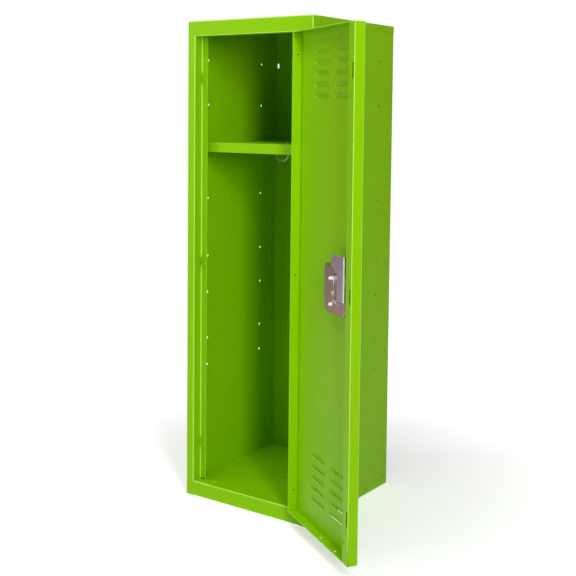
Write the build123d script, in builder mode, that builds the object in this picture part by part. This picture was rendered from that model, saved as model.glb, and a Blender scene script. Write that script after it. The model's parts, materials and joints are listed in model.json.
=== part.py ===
"""A single-tier school locker of folded sheet steel, with its door standing open.

Millimetres, +Z up.  The origin is the middle of the footprint, on the floor.  The door side faces -Y.
Every door piece is drawn with the door shut and is then turned about the hinge axis.
"""
from build123d import *
import os

os.makedirs("parts", exist_ok=True)

# ---- Cabinet, overall -------------------------------------------------------------------------
width = 381.0
depth = 381.0
height = 1219.2
frame_gauge = 1.5        # sheet of the front frame and the door
body_gauge = 0.9         # sheet of the sides, back, top, floor and shelf
frame_bend = 2.4         # outside radius of a fold in the thicker sheet
body_bend = 1.6          # outside radius of a fold in the thinner sheet
seat_gap = 0.15          # room between one folded sheet and the next

# ---- Front frame ------------------------------------------------------------------------------
jamb_face = 23.5
rail_face = 38.1
frame_wrap = 28.0        # how far the frame wraps round the side
strike_gap = 4.0         # shut door to the lip behind it
strike_lip = 18.0
ledge_behind = 6.5       # how far the sill's ledge runs on behind the strike lip's face
sill_foot = 20.0
ledge_slot_length = 14.0
ledge_slot_width = 6.0
ledge_slot_offset = 51.0     # from the frame opening's edge to the slot's middle
ledge_slot_inset = 8.0       # from the ledge's rear edge

# ---- Sides, back, top, floor ------------------------------------------------------------------
side_foot = 32.0
back_flange = 25.4
top_flange = 16.0
top_corner = 8.0
floor_flange = 24.0
floor_hole = 6.4
floor_hole_inset = 24.1      # from the inside of the side wall
column_hole = 5.6
front_column = 80.0          # hole columns, behind the front face
rear_column = 71.5           # hole columns, ahead of the back
column_drops = (94.2, 208.7, 452.2, 604.2, 699.7, 822.2, 893.2)     # below the top
foot_hole_column = 105.0     # ahead of the back
foot_hole_height = 12.0
anchor_drop = 95.7           # below the top
anchor_slot_length = 14.0
anchor_slot_width = 5.5
anchor_inset = 7.5           # from the side wall's inner face to the slot's middle

# ---- Shelf and coat hook ----------------------------------------------------------------------
shelf_drop = 304.8           # top of the cabinet to the shelf's face
shelf_setback = 42.0         # front face of the frame to the shelf's lip
shelf_lip = 25.4
shelf_hem = 12.0
shelf_flange = 20.0
hook_wire = 4.0
hook_plate_length = 46.0
hook_plate_width = 16.0
hook_plate_gauge = 2.0
hook_root = 11.0             # from the middle to a prong's root
hook_reach = 50.0            # from the middle to a prong's tip
hook_drop = 48.0             # plate to the lowest point of a prong
hook_tip_rise = 22.0
hook_tip = 7.0
screw_spread = 34.0
screw_head_rise = 2.0
screw_end = 1.0              # screw beyond its nut
nut_rise = 2.6
nut_across = 7.0

# ---- Rivets and screws ------------------------------------------------------------------------
rivet_head = 6.4
rivet_rise = 1.1
rivet_shank = 3.2
rivet_room = 0.05            # radial room of a rivet or screw in its hole
back_rivet_inset = 20.5      # behind the back panel's face, measured forward
back_rivet_drop = 162.2      # top to the first of the upper rivets
back_rivet_pitch = 229.8
back_rivet_rows = 4
foot_rivet_height = 25.7
foot_rivet_pitch = 50.4
foot_rivet_rows = 3
floor_rivet_front = 80.0     # behind the front face
floor_rivet_rear = 67.0      # ahead of the back
shelf_rivet_drop = 12.0
top_rivet_drop = 9.0

# ---- Door -------------------------------------------------------------------------------------
door_open = 147.5            # degrees from shut, at rest
hinge_gap = 3.0              # jamb to door on the hinge side
latch_gap = 2.0              # jamb to door on the latch side
door_gap = 2.0               # rail to door, top and bottom
door_depth = 24.0
return_lip = 27.0
louver_reach = 5.6
louver_rise = 11.5
louver_length = 77.0
louver_pitch = 25.4
louver_rows = 5
louver_spread = 107.0        # middle to middle of the two columns
louver_shift = 7.5           # door's middle to the pair's middle, towards the free edge
upper_louver_drop = 104.3    # door's top to the middle row's slit
lower_louver_rise = 108.7    # door's bottom to the middle row's slit
plate_slot_length = 20.0
plate_slot_width = 3.0
plate_slot_spread = 47.0
plate_slot_drop = 17.5       # below the door's top edge
lip_hole = 10.5
lip_hole_inset = 18.0        # from the free edge
lip_hole_drop = 152.0        # below the door's top
lip_hole_rise = 46.0         # above the door's bottom
flange_hole = 6.5
flange_hole_columns = (37.0, 80.0, 157.0, 236.0)     # from the free edge
flange_hole_depth = 15.0

# ---- Hinges -----------------------------------------------------------------------------------
hinge_end = 52.5             # door's end to the middle of the hinge nearest it
hinge_length = 50.8
hinge_out = 3.5              # front face to the hinge axis
hinge_knuckles = 5
knuckle_radius = 3.2
knuckle_gap = 0.4
leaf_gauge = 1.2
leaf_reach = 20.0
leaf_clear = 0.4             # leaf edge to the other leaf's knuckles
pin_radius = 1.6
pin_room = 0.06
pin_head_radius = 2.8
pin_head_height = 1.6
pin_tail = 1.0
hinge_rivet_depth = 11.0

# ---- Latch ------------------------------------------------------------------------------------
lift_travel = 12.0
latch_line = 7.5             # free edge to the line of slots and hooks
catch_gauge = 2.0
catch_rise = 27.0
catch_shank = 11.0
catch_nose = 4.0
catch_top_round = 3.0
catch_tip = 2.0
catch_out = 12.0             # how far a catch stands forward of the strike lip
upper_catch_drop = 114.6     # door's top to the upper catch's low end
middle_catch_drop = 12.6     # door's middle to the middle catch's low end
lower_catch_rise = 86.4      # door's bottom to the lower catch's low end
lip_slot_width = 6.0
lip_slot_length = 35.0
lip_slot_low = 4.5           # slot's low end below the catch
bar_gauge = 1.5
bar_gap = 0.5                # bar to the back of the door's return lip
bar_width = 19.0
bar_edge_gap = 1.2           # bar to the inside of the door's free edge wall
bar_end = 26.0               # bar beyond the outer catches
bar_low_room = 4.0
bar_latch_room = 5.0         # window's top above the catch's shank, latched
notch_margin = 2.6
guide_gauge = 1.2
guide_height = 18.0
guide_spread = 550.0
cup_inset = 94.5             # free edge to the middle of the cup
cup_shift = 2.9              # cup's middle above the door's middle
cup_width = 107.0
cup_length = 108.0
cup_back_gap = 0.9           # back of the cup to the sliding arm
cup_gauge = 1.0
cup_corner = 15.0
cup_flange = 7.0
cup_room = 0.3
stud_shift = 1.0             # cup's middle to the studs, towards the hinges
stud_heights = (25.4, -30.9) # above and below the cup's middle
stud_radius = 2.4
stud_room = 0.6
cap_radius = 4.0
cap_length = 10.0
pull_width = 34.0
pull_gauge = 1.5
pull_back_gap = 0.6
pull_front = 4.5             # pull's lip behind the door's face
pull_top = 33.0              # above the cup's middle
pull_lip = 15.0
arm_height = 15.0
cover_gauge = 1.2
cover_gap = 2.6              # sliding arm to the cover
cover_near = 60.5            # cover's outer wall from the cup's middle
cover_top = 77.5             # above the cup's middle
cover_step = 52.0
cover_waist = 40.0
cover_bottom = -18.5
cover_wide = 61.5            # cover's width, upper part
cover_narrow = 33.5          # cover's width, lower part
cover_hole = 5.2
cover_holes = ((16.5, 47.6), (16.5, -10.4))   # from the outer wall, above the cup's middle
arm_room = 2.0               # arm to the cover's window round it
spring_wire = 1.3
spring_coil = 5.0
spring_coil_side = 4.0       # studs to the coil's middle
spring_coil_drop = 6.0       # cup's middle to the coil's middle
spring_anchor = 1.0          # spring's tail below the clip's top
clip_gauge = 1.2
clip_heights = (-26.5, -17.5)    # below the cup's middle
clip_room = 1.5              # clip to the lower stud's cap

# ---- Worked out from the sizes above ----------------------------------------------------------
half = width / 2
front = -depth / 2
back = depth / 2
side_face = half - frame_gauge
side_inner = side_face - body_gauge
back_face = back - body_gauge
back_inner = back_face - body_gauge
opening_half = half - jamb_face
strike_depth = door_depth + strike_gap
strike_y = front + strike_depth
ledge_depth = strike_depth + ledge_behind
flange_front = back_face - back_flange
floor_top = rail_face - frame_gauge
opening_top = height - rail_face
shelf_top = height - shelf_drop

hinge_x = opening_half - hinge_gap / 2
hinge_y = front - hinge_out
door_edge = opening_half - hinge_gap
free_edge = -opening_half + latch_gap
door_bottom = rail_face + door_gap
door_top = opening_top - door_gap
door_middle = (door_bottom + door_top) / 2
lip_back = front + door_depth
lip_front = lip_back - frame_gauge
bar_back = lip_front - bar_gap
bar_front = bar_back - bar_gauge
bar_outer = free_edge + frame_gauge + bar_edge_gap
bar_inner = bar_outer + bar_width
catch_x = free_edge + latch_line
cup_x = free_edge + cup_inset
cup_height = door_middle + cup_shift
cup_back = bar_front - cup_back_gap
cup_depth = cup_back - front
hinge_heights = (
    ("top", door_top - hinge_end),
    ("middle", door_middle),
    ("bottom", door_bottom + hinge_end),
)
catch_heights = (
    ("upper", door_top - upper_catch_drop),
    ("middle", door_middle - middle_catch_drop),
    ("lower", door_bottom + lower_catch_rise),
)
hinge_axis = Axis((hinge_x, hinge_y, 0), (0, 0, 1))


def slab(x_span, y_span, z_span, mode=Mode.ADD):
    """A block between two corners, in the part that is being built."""
    spans = (x_span, y_span, z_span)
    middle = tuple((low + high) / 2 for low, high in spans)
    size = tuple(abs(high - low) for low, high in spans)
    with Locations(middle):
        Box(*size, mode=mode)


def round_bars(middles, turn, length, radius, mode):
    """Round bars or holes at the given middles, turned from Z."""
    with Locations(*[Location(middle, turn) for middle in middles]):
        Cylinder(radius, abs(length), mode=mode)


def bars_along_x(places, x_span, radius, mode=Mode.ADD):
    """Round bars or holes along X, at (y, z) places."""
    middles = [(sum(x_span) / 2, y, z) for y, z in places]
    round_bars(middles, (0, 90, 0), x_span[1] - x_span[0], radius, mode)


def bars_along_y(places, y_span, radius, mode=Mode.ADD):
    """Round bars or holes along Y, at (x, z) places."""
    middles = [(x, sum(y_span) / 2, z) for x, z in places]
    round_bars(middles, (90, 0, 0), y_span[1] - y_span[0], radius, mode)


def bars_along_z(places, z_span, radius, mode=Mode.ADD):
    """Round bars or holes along Z, at (x, y) places."""
    middles = [(x, y, sum(z_span) / 2) for x, y in places]
    round_bars(middles, (0, 0, 0), z_span[1] - z_span[0], radius, mode)


def folded_sheet(plane, corners, length, gauge, bend, side):
    """Sheet folded along a run of corners on one face, with that face's bend radius."""
    with BuildPart() as sheet:
        with BuildSketch(plane):
            with BuildLine():
                FilletPolyline(*corners, radius=bend)
                offset(amount=gauge, side=side, closed=True)
            make_face()
        extrude(amount=length)
    return sheet.part


def both_sides(values):
    """Each value with its mirror image."""
    return [sign * value for value in values for sign in (-1, 1)]


def finish(builder, name, on_door=False):
    """Label a piece, turn it with the door if it rides there, and write it."""
    piece = builder.part.rotate(hinge_axis, door_open) if on_door else builder.part
    piece.label = name
    export_step(piece, f"parts/{name}.step")


# ---- Front frame: two uprights, a header and a sill, welded flush -----------------------------
jamb_corners = (
    (-half, front + frame_wrap),
    (-half, front),
    (-opening_half, front),
    (-opening_half, strike_y),
    (-opening_half + strike_lip, strike_y),
)
jamb = folded_sheet(Plane.XY, jamb_corners, height - frame_gauge, frame_gauge, frame_bend, Side.LEFT)

with BuildPart() as frame_jamb_left:
    add(jamb)
finish(frame_jamb_left, "frame_jamb_left")

with BuildPart() as frame_jamb_right:
    add(jamb.mirror(Plane.YZ))
finish(frame_jamb_right, "frame_jamb_right")

header_corners = (
    (front + frame_wrap, height),
    (front, height),
    (front, opening_top),
    (strike_y - frame_bend, opening_top),
)
rail_start = Plane.YZ.offset(-opening_half)
header = folded_sheet(rail_start, header_corners, 2 * opening_half, frame_gauge, frame_bend, Side.LEFT)

with BuildPart() as frame_header:
    add(header)
    for sign in (-1, 1):
        slab((sign * opening_half, sign * half), (front, front + frame_wrap), (height - frame_gauge, height))
    corner_posts = frame_header.edges().filter_by(Axis.Z).filter_by_position(Axis.Y, front, front)
    fillet(corner_posts.group_by(Axis.X)[0] + corner_posts.group_by(Axis.X)[-1], frame_bend)
finish(frame_header, "frame_header")

sill_corners = (
    (front + sill_foot, 0),
    (front, 0),
    (front, rail_face),
    (front + ledge_depth, rail_face),
)
sill = folded_sheet(rail_start, sill_corners, 2 * opening_half, frame_gauge, frame_bend, Side.RIGHT)

with BuildPart() as frame_sill:
    add(sill)
    lip_inner = opening_half - strike_lip
    for sign in (-1, 1):
        slab(
            (sign * (lip_inner - seat_gap), sign * opening_half),
            (strike_y - frame_bend, front + ledge_depth + seat_gap),
            (rail_face - frame_gauge, rail_face),
            Mode.SUBTRACT,
        )
    with BuildSketch(Plane.XY.offset(floor_top)):
        slot_x = opening_half - ledge_slot_offset
        with Locations(*[(x, front + ledge_depth - ledge_slot_inset) for x in both_sides([slot_x])]):
            SlotOverall(ledge_slot_length, ledge_slot_width)
    extrude(amount=frame_gauge, mode=Mode.SUBTRACT)
finish(frame_sill, "frame_sill")

# ---- Side panels: plain sheets with an inward foot and rows of shelf holes --------------------
side_rivet_y = back_face - back_rivet_inset
column_ys = (front + front_column, back - rear_column)
column_places = [(y, height - drop) for y in column_ys for drop in column_drops]
column_places.append((back - foot_hole_column, foot_hole_height))
shelf_rivet_places = [(y, shelf_top - shelf_rivet_drop) for y in column_ys]
top_rivet_places = [(y, height - top_rivet_drop) for y in column_ys]
upper_rivet_heights = [height - back_rivet_drop - row * back_rivet_pitch for row in range(back_rivet_rows)]
foot_rivet_heights = [foot_rivet_height + row * foot_rivet_pitch for row in range(foot_rivet_rows)]
back_rivet_places = [(side_rivet_y, z) for z in upper_rivet_heights + foot_rivet_heights]
floor_rivet_ys = (front + floor_rivet_front, back - floor_rivet_rear)
floor_rivet_places = [(y, foot_rivet_height) for y in floor_rivet_ys]
side_rivet_places = shelf_rivet_places + top_rivet_places + back_rivet_places + floor_rivet_places
rivet_hole = rivet_shank / 2 + rivet_room
floor_hole_x = side_inner - floor_hole_inset
panel_front = front + frame_bend + seat_gap
panel_top = height - body_bend - seat_gap

side_corners = ((side_face, panel_top), (side_face, 0), (side_face - side_foot, 0))
side_plane = Plane.XZ.offset(-back_face)
side_length = back_face - panel_front
side_sheet = folded_sheet(side_plane, side_corners, side_length, body_gauge, body_bend, Side.RIGHT)

with BuildPart() as side_panel_right:
    add(side_sheet)
    bars_along_x(column_places, (side_inner, side_face), column_hole / 2, Mode.SUBTRACT)
    bars_along_x(side_rivet_places, (side_inner, side_face), rivet_hole, Mode.SUBTRACT)
    bars_along_z([(floor_hole_x, 0)], (0, body_gauge), floor_hole / 2, Mode.SUBTRACT)
    # The foot stops behind the jamb's strike lip and the sill, and short of the header's top plate.
    slab((0, side_inner), (panel_front, front + ledge_depth + seat_gap), (0, body_bend), Mode.SUBTRACT)
    slab(
        (side_inner, side_face),
        (panel_front, front + frame_wrap + seat_gap),
        (height - frame_gauge, panel_top),
        Mode.SUBTRACT,
    )
finish(side_panel_right, "side_panel_right")

with BuildPart() as side_panel_left:
    add(side_panel_right.part.mirror(Plane.YZ))
finish(side_panel_left, "side_panel_left")

# ---- Back panel: a tray whose side flanges run forward inside the side panels -----------------
back_half = side_inner - seat_gap
back_corners = (
    (-back_half, flange_front),
    (-back_half, back_face),
    (back_half, back_face),
    (back_half, flange_front),
)
back_plane = Plane.XY.offset(body_bend + seat_gap)
back_height = panel_top - body_bend - seat_gap
back_sheet = folded_sheet(back_plane, back_corners, back_height, body_gauge, body_bend, Side.RIGHT)
anchor_x = side_inner - anchor_inset

with BuildPart() as back_panel:
    add(back_sheet)
    with BuildSketch(Plane.XZ.offset(-back_face)):
        with Locations(*[(x, height - anchor_drop) for x in both_sides([anchor_x])]):
            SlotOverall(anchor_slot_length, anchor_slot_width, rotation=90)
    extrude(amount=body_gauge, mode=Mode.SUBTRACT)
    bars_along_x(back_rivet_places, (-back_half, back_half), rivet_hole, Mode.SUBTRACT)
finish(back_panel, "back_panel")

# ---- Top panel: a cap that laps outside the sides and the back --------------------------------
top_half = side_face + body_gauge
top_front = front + frame_wrap + seat_gap

with BuildPart() as top_panel:
    slab((-top_half, top_half), (top_front, back), (height - top_flange, height))
    cap_edges = top_panel.edges().filter_by(Axis.Y).group_by(Axis.Z)[-1]
    cap_rear = top_panel.faces().sort_by(Axis.Y)[-1].edges()
    cap_rear_upper = cap_rear.group_by(Axis.Z)[-1] + cap_rear.filter_by(Axis.Z)
    fillet(cap_edges + cap_rear_upper, body_bend)
    cap_openings = [top_panel.faces().sort_by(Axis.Z)[0], top_panel.faces().sort_by(Axis.Y)[0]]
    offset(amount=-body_gauge, openings=cap_openings)
    low_front = top_panel.edges().filter_by(Axis.X).group_by(Axis.Y)[0].group_by(Axis.Z)[0]
    fillet(low_front, top_corner)
    bars_along_x(top_rivet_places, (-top_half, top_half), rivet_hole, Mode.SUBTRACT)
finish(top_panel, "top_panel")

# ---- Floor: an inverted tray between the sides, tucked under the sill's ledge -----------------
floor_front = front + frame_gauge + seat_gap
floor_back = back_inner - seat_gap
floor_half = side_inner - seat_gap

with BuildPart() as floor_panel:
    slab((-floor_half, floor_half), (floor_front, floor_back), (floor_top - floor_flange, floor_top))
    fillet(floor_panel.edges() - floor_panel.faces().sort_by(Axis.Z)[0].edges(), body_bend)
    offset(amount=-body_gauge, openings=floor_panel.faces().sort_by(Axis.Z)[0])
    whole_rise = (floor_top - floor_flange, floor_top)
    for sign in (-1, 1):
        jamb_notch = (sign * (opening_half - strike_lip - seat_gap), sign * half)
        slab(jamb_notch, (front, front + ledge_depth), whole_rise, Mode.SUBTRACT)
        rear_notch = (sign * (floor_half - body_bend), sign * half)
        slab(rear_notch, (flange_front - seat_gap, back), whole_rise, Mode.SUBTRACT)
    floor_hole_places = [(x, 0) for x in (-floor_hole_x, 0, floor_hole_x)]
    bars_along_z(floor_hole_places, whole_rise, floor_hole / 2, Mode.SUBTRACT)
    bars_along_x(floor_rivet_places, (-floor_half, floor_half), rivet_hole, Mode.SUBTRACT)
finish(floor_panel, "floor_panel")

# ---- Shelf: a tray with a deep hemmed lip in front --------------------------------------------
shelf_front = front + shelf_setback
shelf_under = shelf_top - body_gauge
shelf_corners = (
    (shelf_front + shelf_hem, shelf_top - shelf_lip),
    (shelf_front, shelf_top - shelf_lip),
    (shelf_front, shelf_top),
    (floor_back, shelf_top),
    (floor_back, shelf_top - shelf_flange),
)
shelf_plane = Plane.YZ.offset(-floor_half)
shelf_sheet = folded_sheet(shelf_plane, shelf_corners, 2 * floor_half, body_gauge, body_bend, Side.RIGHT)
shelf_flange_span = (shelf_front + body_bend, flange_front - seat_gap)

with BuildPart() as shelf:
    add(shelf_sheet)
    for sign in (-1, 1):
        shelf_side = (sign * (floor_half - body_gauge), sign * floor_half)
        slab(shelf_side, shelf_flange_span, (shelf_top - shelf_flange, shelf_under))
        slab(
            (sign * (floor_half - body_bend), sign * half),
            (flange_front - seat_gap, back),
            (shelf_top - shelf_lip, shelf_top),
            Mode.SUBTRACT,
        )
    bars_along_x(shelf_rivet_places, (-floor_half, floor_half), rivet_hole, Mode.SUBTRACT)
    screw_places = [(x, 0) for x in both_sides([screw_spread / 2])]
    bars_along_z(screw_places, (shelf_under, shelf_top), rivet_hole, Mode.SUBTRACT)
finish(shelf, "shelf")

# ---- Rivets: a domed head, a shank and a small set tail ---------------------------------------
rivet_tail = rivet_shank * 0.7


def side_rivet(grip):
    """One rivet along +X: its head stands on x = 0 and its tail is grip behind it."""
    with BuildPart() as rivet:
        with BuildSketch(Plane.XY):
            with BuildLine():
                head_edge = (0, rivet_head / 2)
                head_top = (rivet_rise, 0)
                Line((-grip - rivet_rise, 0), head_top)
                RadiusArc(head_top, head_edge, -(rivet_rise**2 + (rivet_head / 2) ** 2) / (2 * rivet_rise))
                Polyline(
                    head_edge,
                    (0, rivet_shank / 2),
                    (-grip, rivet_shank / 2),
                    (-grip, rivet_tail),
                    (-grip - rivet_rise, rivet_tail),
                    (-grip - rivet_rise, 0),
                )
            make_face()
        revolve(axis=Axis.X)
    return rivet.part


def rivet_group(name, head_x, grip, places):
    """The same rivets through both sides of the cabinet, as one group of solids."""
    rivet = side_rivet(grip)
    with BuildPart() as group:
        with Locations(*[(head_x, y, z) for y, z in places]):
            add(rivet)
        with Locations(*[Location((-head_x, y, z), (0, 0, 180)) for y, z in places]):
            add(rivet)
    finish(group, name)


two_sheets = 2 * body_gauge + seat_gap
rivet_group("back_rivets", side_face, two_sheets, back_rivet_places)
rivet_group("top_rivets", top_half, 2 * body_gauge, top_rivet_places)
rivet_group("shelf_rivets", side_face, two_sheets, shelf_rivet_places)
rivet_group("floor_rivets", side_face, two_sheets, floor_rivet_places)

# ---- Coat hook under the shelf, with its screws and nuts --------------------------------------
plate_z = shelf_under - hook_plate_gauge
prong_low = plate_z - hook_drop + hook_wire / 2
prong_corners = (
    (hook_root, 0, plate_z + hook_plate_gauge / 2),
    (hook_root, 0, prong_low),
    (hook_reach, 0, prong_low),
    (hook_reach, 0, prong_low + hook_tip_rise),
)
prong_bend = (hook_reach - hook_root) / 2 - 1.0

with BuildPart() as coat_hook:
    slab(
        (-hook_plate_length / 2, hook_plate_length / 2),
        (-hook_plate_width / 2, hook_plate_width / 2),
        (plate_z, shelf_under),
    )
    fillet(coat_hook.edges().filter_by(Axis.Z), hook_plate_width / 3)
    for sign in (-1, 1):
        with BuildLine() as prong_path:
            FilletPolyline(*[(sign * x, y, z) for x, y, z in prong_corners], radius=prong_bend)
        with BuildSketch(prong_path.line ^ 0):
            Circle(hook_wire / 2)
        sweep(path=prong_path.line)
        with Locations((sign * hook_reach, 0, prong_low + hook_tip_rise)):
            Sphere(hook_tip / 2)
    bars_along_z(screw_places, (plate_z, shelf_under), rivet_hole, Mode.SUBTRACT)
finish(coat_hook, "coat_hook")

with BuildPart() as coat_hook_screws:
    bars_along_z(screw_places, (plate_z, shelf_top + nut_rise + screw_end), rivet_shank / 2)
    bars_along_z(screw_places, (plate_z - screw_head_rise, plate_z), rivet_head / 2)
    low_rims = coat_hook_screws.edges().group_by(Axis.Z)[0]
    fillet(low_rims, screw_head_rise * 0.6)
finish(coat_hook_screws, "coat_hook_screws")

with BuildPart() as coat_hook_nuts:
    with BuildSketch(Plane.XY.offset(shelf_top)):
        with Locations(*screw_places):
            RegularPolygon(nut_across / 2, 6, major_radius=False)
            Circle(rivet_hole, mode=Mode.SUBTRACT)
    extrude(amount=nut_rise)
finish(coat_hook_nuts, "coat_hook_nuts")

# ---- Catches: upward hooks welded behind the latch-side strike lip ----------------------------
for place, low in catch_heights:
    with BuildPart() as catch:
        with BuildSketch(Plane.YZ.offset(catch_x - catch_gauge / 2)):
            with BuildLine():
                catch_front = strike_y - catch_out
                Polyline(
                    (strike_y, low),
                    (strike_y, low + catch_shank),
                    (catch_front + catch_nose, low + catch_shank),
                    (catch_front + catch_nose, low + catch_rise - catch_top_round),
                    (catch_front + catch_nose / 2 + catch_tip / 2, low + catch_rise),
                    (catch_front + catch_nose / 2 - catch_tip / 2, low + catch_rise - catch_top_round),
                    (catch_front, low + catch_shank),
                    (catch_front + catch_nose, low),
                    close=True,
                )
            make_face()
        extrude(amount=catch_gauge)
    finish(catch, f"catch_{place}")

# ---- Hinges: two leaves and a pin, with alternate knuckles ------------------------------------
knuckle_pitch = hinge_length / hinge_knuckles


def hinge_leaf(middle, first, x_near, x_far):
    """A leaf lying between two x values, with every second knuckle from the first one up."""
    low = middle - hinge_length / 2
    leaf_start = hinge_y + knuckle_radius + leaf_clear
    leaf_x = (hinge_x + x_near, hinge_x + x_far)
    with BuildPart() as leaf:
        slab(leaf_x, (leaf_start, front + leaf_reach), (low, low + hinge_length))
        rear_corners = leaf.edges().filter_by(Axis.X).group_by(Axis.Y)[-1]
        fillet(rear_corners, knuckle_radius)
        for step in range(first, hinge_knuckles, 2):
            span = (low + step * knuckle_pitch, low + (step + 1) * knuckle_pitch - knuckle_gap)
            bars_along_z([(hinge_x, hinge_y)], span, knuckle_radius)
            slab(leaf_x, (hinge_y, leaf_start), span)
        whole = (low, low + hinge_length)
        bars_along_z([(hinge_x, hinge_y)], whole, pin_radius + pin_room, Mode.SUBTRACT)
    return leaf


for place, middle in hinge_heights:
    frame_leaf = hinge_leaf(middle, 0, hinge_gap / 2 - leaf_gauge, hinge_gap / 2)
    finish(frame_leaf, f"hinge_frame_leaf_{place}")

    door_leaf = hinge_leaf(middle, 1, -hinge_gap / 2, leaf_gauge - hinge_gap / 2)
    with BuildPart() as drilled_leaf:
        add(door_leaf.part)
        rivet_spot = [(front + hinge_rivet_depth, middle)]
        leaf_span = (hinge_x - hinge_gap / 2, hinge_x - hinge_gap / 2 + leaf_gauge)
        bars_along_x(rivet_spot, leaf_span, rivet_hole, Mode.SUBTRACT)
    finish(drilled_leaf, f"hinge_door_leaf_{place}", on_door=True)

    with BuildPart() as pin:
        pin_low = middle - hinge_length / 2 - pin_tail
        pin_high = middle + hinge_length / 2 + knuckle_gap
        bars_along_z([(hinge_x, hinge_y)], (pin_low, pin_high), pin_radius)
        bars_along_z([(hinge_x, hinge_y)], (pin_high, pin_high + pin_head_height), pin_head_radius)
        fillet(pin.edges().group_by(Axis.Z)[-1], pin_head_height * 0.6)
    finish(pin, f"hinge_pin_{place}")

# ---- Door: one pan with louvers, a return lip on the free edge and its slots ------------------
door_rivet_spots = [(front + hinge_rivet_depth, middle) for _, middle in hinge_heights]
hood_gauge = frame_gauge * 0.8


def louver_hood(shrink):
    """The louver's hood, open below and behind, or with a shrink the hollow inside it."""
    reach = louver_reach - shrink
    rise = louver_rise - shrink
    length = louver_length - 2 * shrink
    with BuildPart() as hood:
        with BuildSketch(Plane.XY) as plan:
            with Locations((0, -reach / 2)):
                Rectangle(length, reach)
            fillet(plan.vertices().group_by(Axis.Y)[0], reach * 0.9)
        extrude(amount=rise)
        with BuildSketch(Plane.YZ.offset(-length / 2)):
            with BuildLine():
                Line((0, 0), (-reach, 0))
                EllipticalCenterArc((0, 0), reach, rise, 90, arc_size=90)
                Line((0, rise), (0, 0))
            make_face()
        extrude(amount=length, mode=Mode.INTERSECT)
    return hood.part


hood_shell = louver_hood(0)
hood_hollow = louver_hood(hood_gauge)
door_centre = (door_edge + free_edge) / 2
pair_x = door_centre - louver_shift
louver_places = [
    (pair_x + across, front, middle + row * louver_pitch)
    for middle in (door_top - upper_louver_drop, door_bottom + lower_louver_rise)
    for across in (-louver_spread / 2, louver_spread / 2)
    for row in range(-(louver_rows // 2), louver_rows // 2 + 1)
]
lip_inner_x = free_edge + return_lip

lip_ends = (door_bottom + frame_gauge, door_top - frame_gauge)
lip_corners = (
    (free_edge, lip_back - 2 * frame_bend),
    (free_edge, lip_back),
    (lip_inner_x, lip_back),
)
lip_plane = Plane.XY.offset(lip_ends[0])
lip_length = lip_ends[1] - lip_ends[0]
lip_sheet = folded_sheet(lip_plane, lip_corners, lip_length, frame_gauge, frame_bend, Side.RIGHT)

with BuildPart() as door_panel:
    slab((free_edge, door_edge), (front, lip_back), (door_bottom, door_top))
    fillet(door_panel.edges() - door_panel.faces().sort_by(Axis.Y)[-1].edges(), frame_bend)
    offset(amount=-frame_gauge, openings=door_panel.faces().sort_by(Axis.Y)[-1])
    # Return lip folded back along the free edge, with the three latch slots and two round holes.
    edge_corner = (free_edge, free_edge + frame_gauge)
    slab(edge_corner, (lip_back - 2 * frame_bend, lip_back), lip_ends, Mode.SUBTRACT)
    add(lip_sheet)
    for _, low in catch_heights:
        slab(
            (catch_x - lip_slot_width / 2, catch_x + lip_slot_width / 2),
            (lip_front - frame_gauge, lip_back + frame_gauge),
            (low - lip_slot_low, low - lip_slot_low + lip_slot_length),
            Mode.SUBTRACT,
        )
    hole_x = free_edge + lip_hole_inset
    lip_hole_places = [(hole_x, z) for z in (door_top - lip_hole_drop, door_bottom + lip_hole_rise)]
    bars_along_y(lip_hole_places, (lip_front, lip_back), lip_hole / 2, Mode.SUBTRACT)
    # Louvers: hoods pressed outward, open at the bottom.
    with Locations(*louver_places):
        add(hood_shell)
    with BuildSketch(Plane.XZ.offset(-front)):
        with Locations(*[(x, z + louver_rise / 2 - hood_gauge / 2) for x, _, z in louver_places]):
            Rectangle(louver_length - 2 * louver_reach, louver_rise - hood_gauge)
    extrude(amount=-frame_gauge, mode=Mode.SUBTRACT)
    with Locations(*louver_places):
        add(hood_hollow, mode=Mode.SUBTRACT)
    # Openings for a number plate, the cup, the hinge rivets and the flanges' drain holes.
    with BuildSketch(Plane.XZ.offset(-front)):
        plate_xs = [door_centre + x for x in both_sides([plate_slot_spread / 2])]
        with Locations(*[(x, door_top - plate_slot_drop) for x in plate_xs]):
            SlotOverall(plate_slot_length, plate_slot_width)
        with Locations((cup_x, cup_height)):
            RectangleRounded(cup_width, cup_length, cup_corner)
    extrude(amount=-frame_gauge, mode=Mode.SUBTRACT)
    bars_along_x(door_rivet_spots, (door_edge - frame_gauge, door_edge), rivet_hole, Mode.SUBTRACT)
    flange_places = [(free_edge + x, front + flange_hole_depth) for x in flange_hole_columns]
    bars_along_z(flange_places, (door_bottom, door_bottom + frame_gauge), flange_hole / 2, Mode.SUBTRACT)
    bars_along_z(flange_places, (door_top - frame_gauge, door_top), flange_hole / 2, Mode.SUBTRACT)
finish(door_panel, "door_panel", on_door=True)

with BuildPart() as hinge_rivets:
    flush_head = hinge_x - hinge_gap / 2 + leaf_gauge
    wall_inside = door_edge - frame_gauge
    bars_along_x(door_rivet_spots, (wall_inside, flush_head), rivet_shank / 2)
    bars_along_x(door_rivet_spots, (wall_inside - rivet_rise, wall_inside), rivet_head / 2)
    set_rims = hinge_rivets.edges().group_by(Axis.X)[0]
    fillet(set_rims, rivet_rise * 0.7)
finish(hinge_rivets, "hinge_rivets", on_door=True)

# ---- Latch cup: a drawn pocket with a flange on the door's face -------------------------------
stud_x = cup_x + stud_shift
stud_places = [(stud_x, cup_height + z) for z in stud_heights]

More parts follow.
